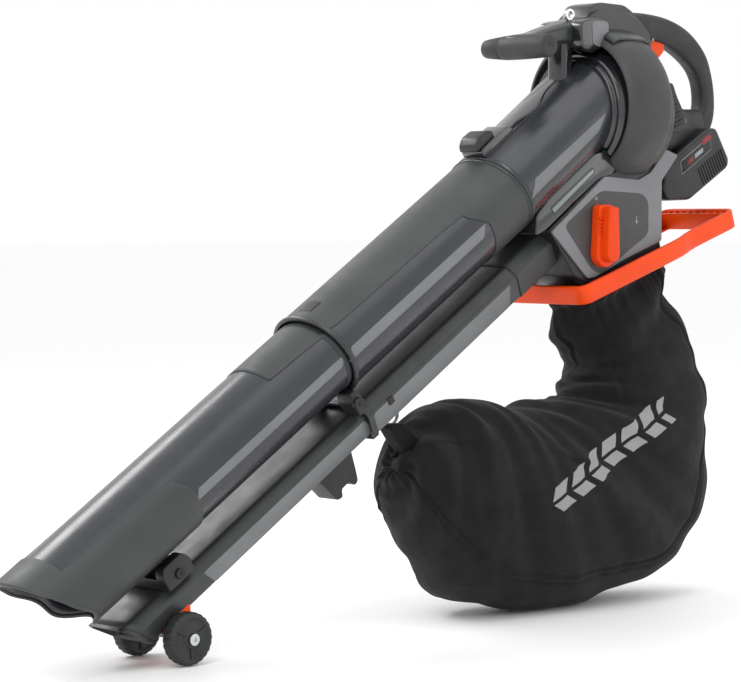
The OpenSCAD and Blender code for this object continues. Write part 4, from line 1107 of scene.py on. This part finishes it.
blend_in = np.clip((bag_grid[..., 2] - rest * 0.2) / (rest * 0.8), 0, 1)
bag_grid[..., 2] = np.where(bag_grid[..., 2] < rest,
                            low * (1 - blend_in) + bag_grid[..., 2] * blend_in, bag_grid[..., 2])
bag_cloth = surface("bag_cloth", bag_grid, (False, True))
close_ends(bag_cloth)
for face in bag_cloth.data.polygons:
    face.use_smooth = len(face.vertices) < 6
weave_black, weave_tree, weave = node_material("bag_weave")
spot = weave_tree.nodes.new("ShaderNodeTexCoord")
weave_height = None
for turned in ((0, 0, 0), (0, math.radians(90), 0)):
    turn_to = weave_tree.nodes.new("ShaderNodeMapping")
    turn_to.inputs["Rotation"].default_value = turned
    threads = weave_tree.nodes.new("ShaderNodeTexWave")
    threads.inputs["Scale"].default_value = 260
    threads.inputs["Distortion"].default_value = 0.6
    threads.inputs["Detail"].default_value = 1.0
    weave_tree.links.new(spot.outputs["Object"], turn_to.inputs["Vector"])
    weave_tree.links.new(turn_to.outputs["Vector"], threads.inputs["Vector"])
    weave_height = bump(weave_tree, threads.outputs["Fac"], 0.00012, 0.6, weave_height)
crumple = bump(weave_tree, noise(weave_tree, 38, 4.0, (1, 1, 1.6)), 0.0035, 0.5, weave_height)
weave_tree.links.new(crumple, weave.inputs["Normal"])
weave.inputs["Specular IOR Level"].default_value = 0.2
weave.inputs["Sheen Weight"].default_value = 0.05
weave.inputs["Sheen Roughness"].default_value = 0.5

# Two pale reflective bands with a chevron break run up the near flank, along the bag's slope.
band_turn = weave_tree.nodes.new("ShaderNodeMapping")
band_turn.vector_type = "TEXTURE"
band_turn.inputs["Location"].default_value = (0.040, 0, 0.196)
band_turn.inputs["Rotation"].default_value = (0, math.radians(-25), 0)
weave_tree.links.new(spot.outputs["Object"], band_turn.inputs["Vector"])
axes_of = weave_tree.nodes.new("ShaderNodeSeparateXYZ")
weave_tree.links.new(band_turn.outputs["Vector"], axes_of.inputs["Vector"])


def math_node(kind, first, second=0.0):
    """A math node on the cloth's tree over sockets or numbers."""
    node = weave_tree.nodes.new("ShaderNodeMath")
    node.operation = kind
    for socket, value in zip(node.inputs, (first, second)):
        if isinstance(value, (int, float)):
            socket.default_value = value
        else:
            weave_tree.links.new(value, socket)
    return node.outputs[0]


lean_x = math_node("ADD", axes_of.outputs["X"],
                   math_node("MULTIPLY", math_node("ABSOLUTE", axes_of.outputs["Z"]), -0.8))
inside = math_node("LESS_THAN", math_node("ABSOLUTE", math_node("ADD", lean_x, 0.012)), 0.125)
low_band = math_node("LESS_THAN", math_node("ABSOLUTE", axes_of.outputs["Z"]), 0.0165)
thin_gap = math_node("GREATER_THAN", math_node("ABSOLUTE", axes_of.outputs["Z"]), 0.0022)
teeth = math_node("LESS_THAN", math_node("PINGPONG", lean_x, 0.0190), 0.0135)
near_only = math_node("LESS_THAN", axes_of.outputs["Y"], 0.0)
print_mask = inside
for extra in (low_band, thin_gap, teeth, near_only):
    print_mask = math_node("MULTIPLY", print_mask, extra)
cloth_tone = blend_colours(weave_tree, noise(weave_tree, 14, 4.0), "121213", "1a1a1b")
mix = weave_tree.nodes.new("ShaderNodeMix")
mix.data_type = "RGBA"
weave_tree.links.new(print_mask, mix.inputs["Factor"])
weave_tree.links.new(cloth_tone, mix.inputs["A"])
mix.inputs["B"].default_value = linear("8f8f8e")
weave_tree.links.new(mix.outputs["Result"], weave.inputs["Base Color"])
weave_tree.links.new(between(weave_tree, noise(weave_tree, 60, 2.0), 0.78, 0.92),
                     weave.inputs["Roughness"])
finish_piece(bag_cloth, weave_black, stands_for=["bag"])

# A webbing ear, folded over the wire hook and sewn to the top of the hanging toe.
ear_outline = rounded(mm((-268, 243), (-246, 247), (-226, 232), (-220, 212), (-234, 206),
                         (-252, 222)), 0.004)
ear_cloth = plate("bag_hook_ear", ear_outline, -0.0100, 0.0100, 0.0026)
modify(ear_cloth, "SUBSURF", levels=1, render_levels=1)
finish_piece(ear_cloth, weave_black)

# ---------------------------------------------------------------- CAD pieces that stay
# Pieces whose shape is already right keep it and only get a finish: what lies inside, the
# trigger, the pins, the bolts and the wire rings. The trigger's spring gets a mesh of its own.
board_green = moulded("board_green", "0f3a22", "15482b", (0.3, 0.45), 1800, 0.00003)
wound_copper = moulded("wound_copper", "7a4a2c", "8c5836", (0.3, 0.5), 1200, 0.00006, metal=0.8)
node_slots = {"tube_seal": "soft_rubber", "impeller": "dark_plastic", "motor_rotor": "copper_steel",
              "trigger": "orange", "trigger_switch": "dark_plastic", "control_board": "board",
              "battery_dock": "dark_plastic", "terminal_block": "contacts",
              "diverter_flap": "dark_plastic", "axle_bolts": "chrome", "strap_eyelet": "chrome",
              "bag_latch": "red_latch"}
finishes = {"satin_grey": ring_grey, "gloss_grey": gloss_grey, "dark_plastic": near_black,
            "cover_grey": cover_grey, "light_grey": plate_paint, "orange": frame_orange,
            "red_latch": catch_red, "soft_rubber": rubber, "steel": screw_steel,
            "chrome": chrome, "copper_steel": wound_copper, "board": board_green,
            "contacts": chrome, "bag_fabric": weave_black}
for node_name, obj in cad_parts.items():
    slot = node_slots.get(node_name, "steel")
    obj.data.materials.clear()
    obj.data.materials.append(finishes[slot])
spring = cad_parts["trigger_spring"]
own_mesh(spring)
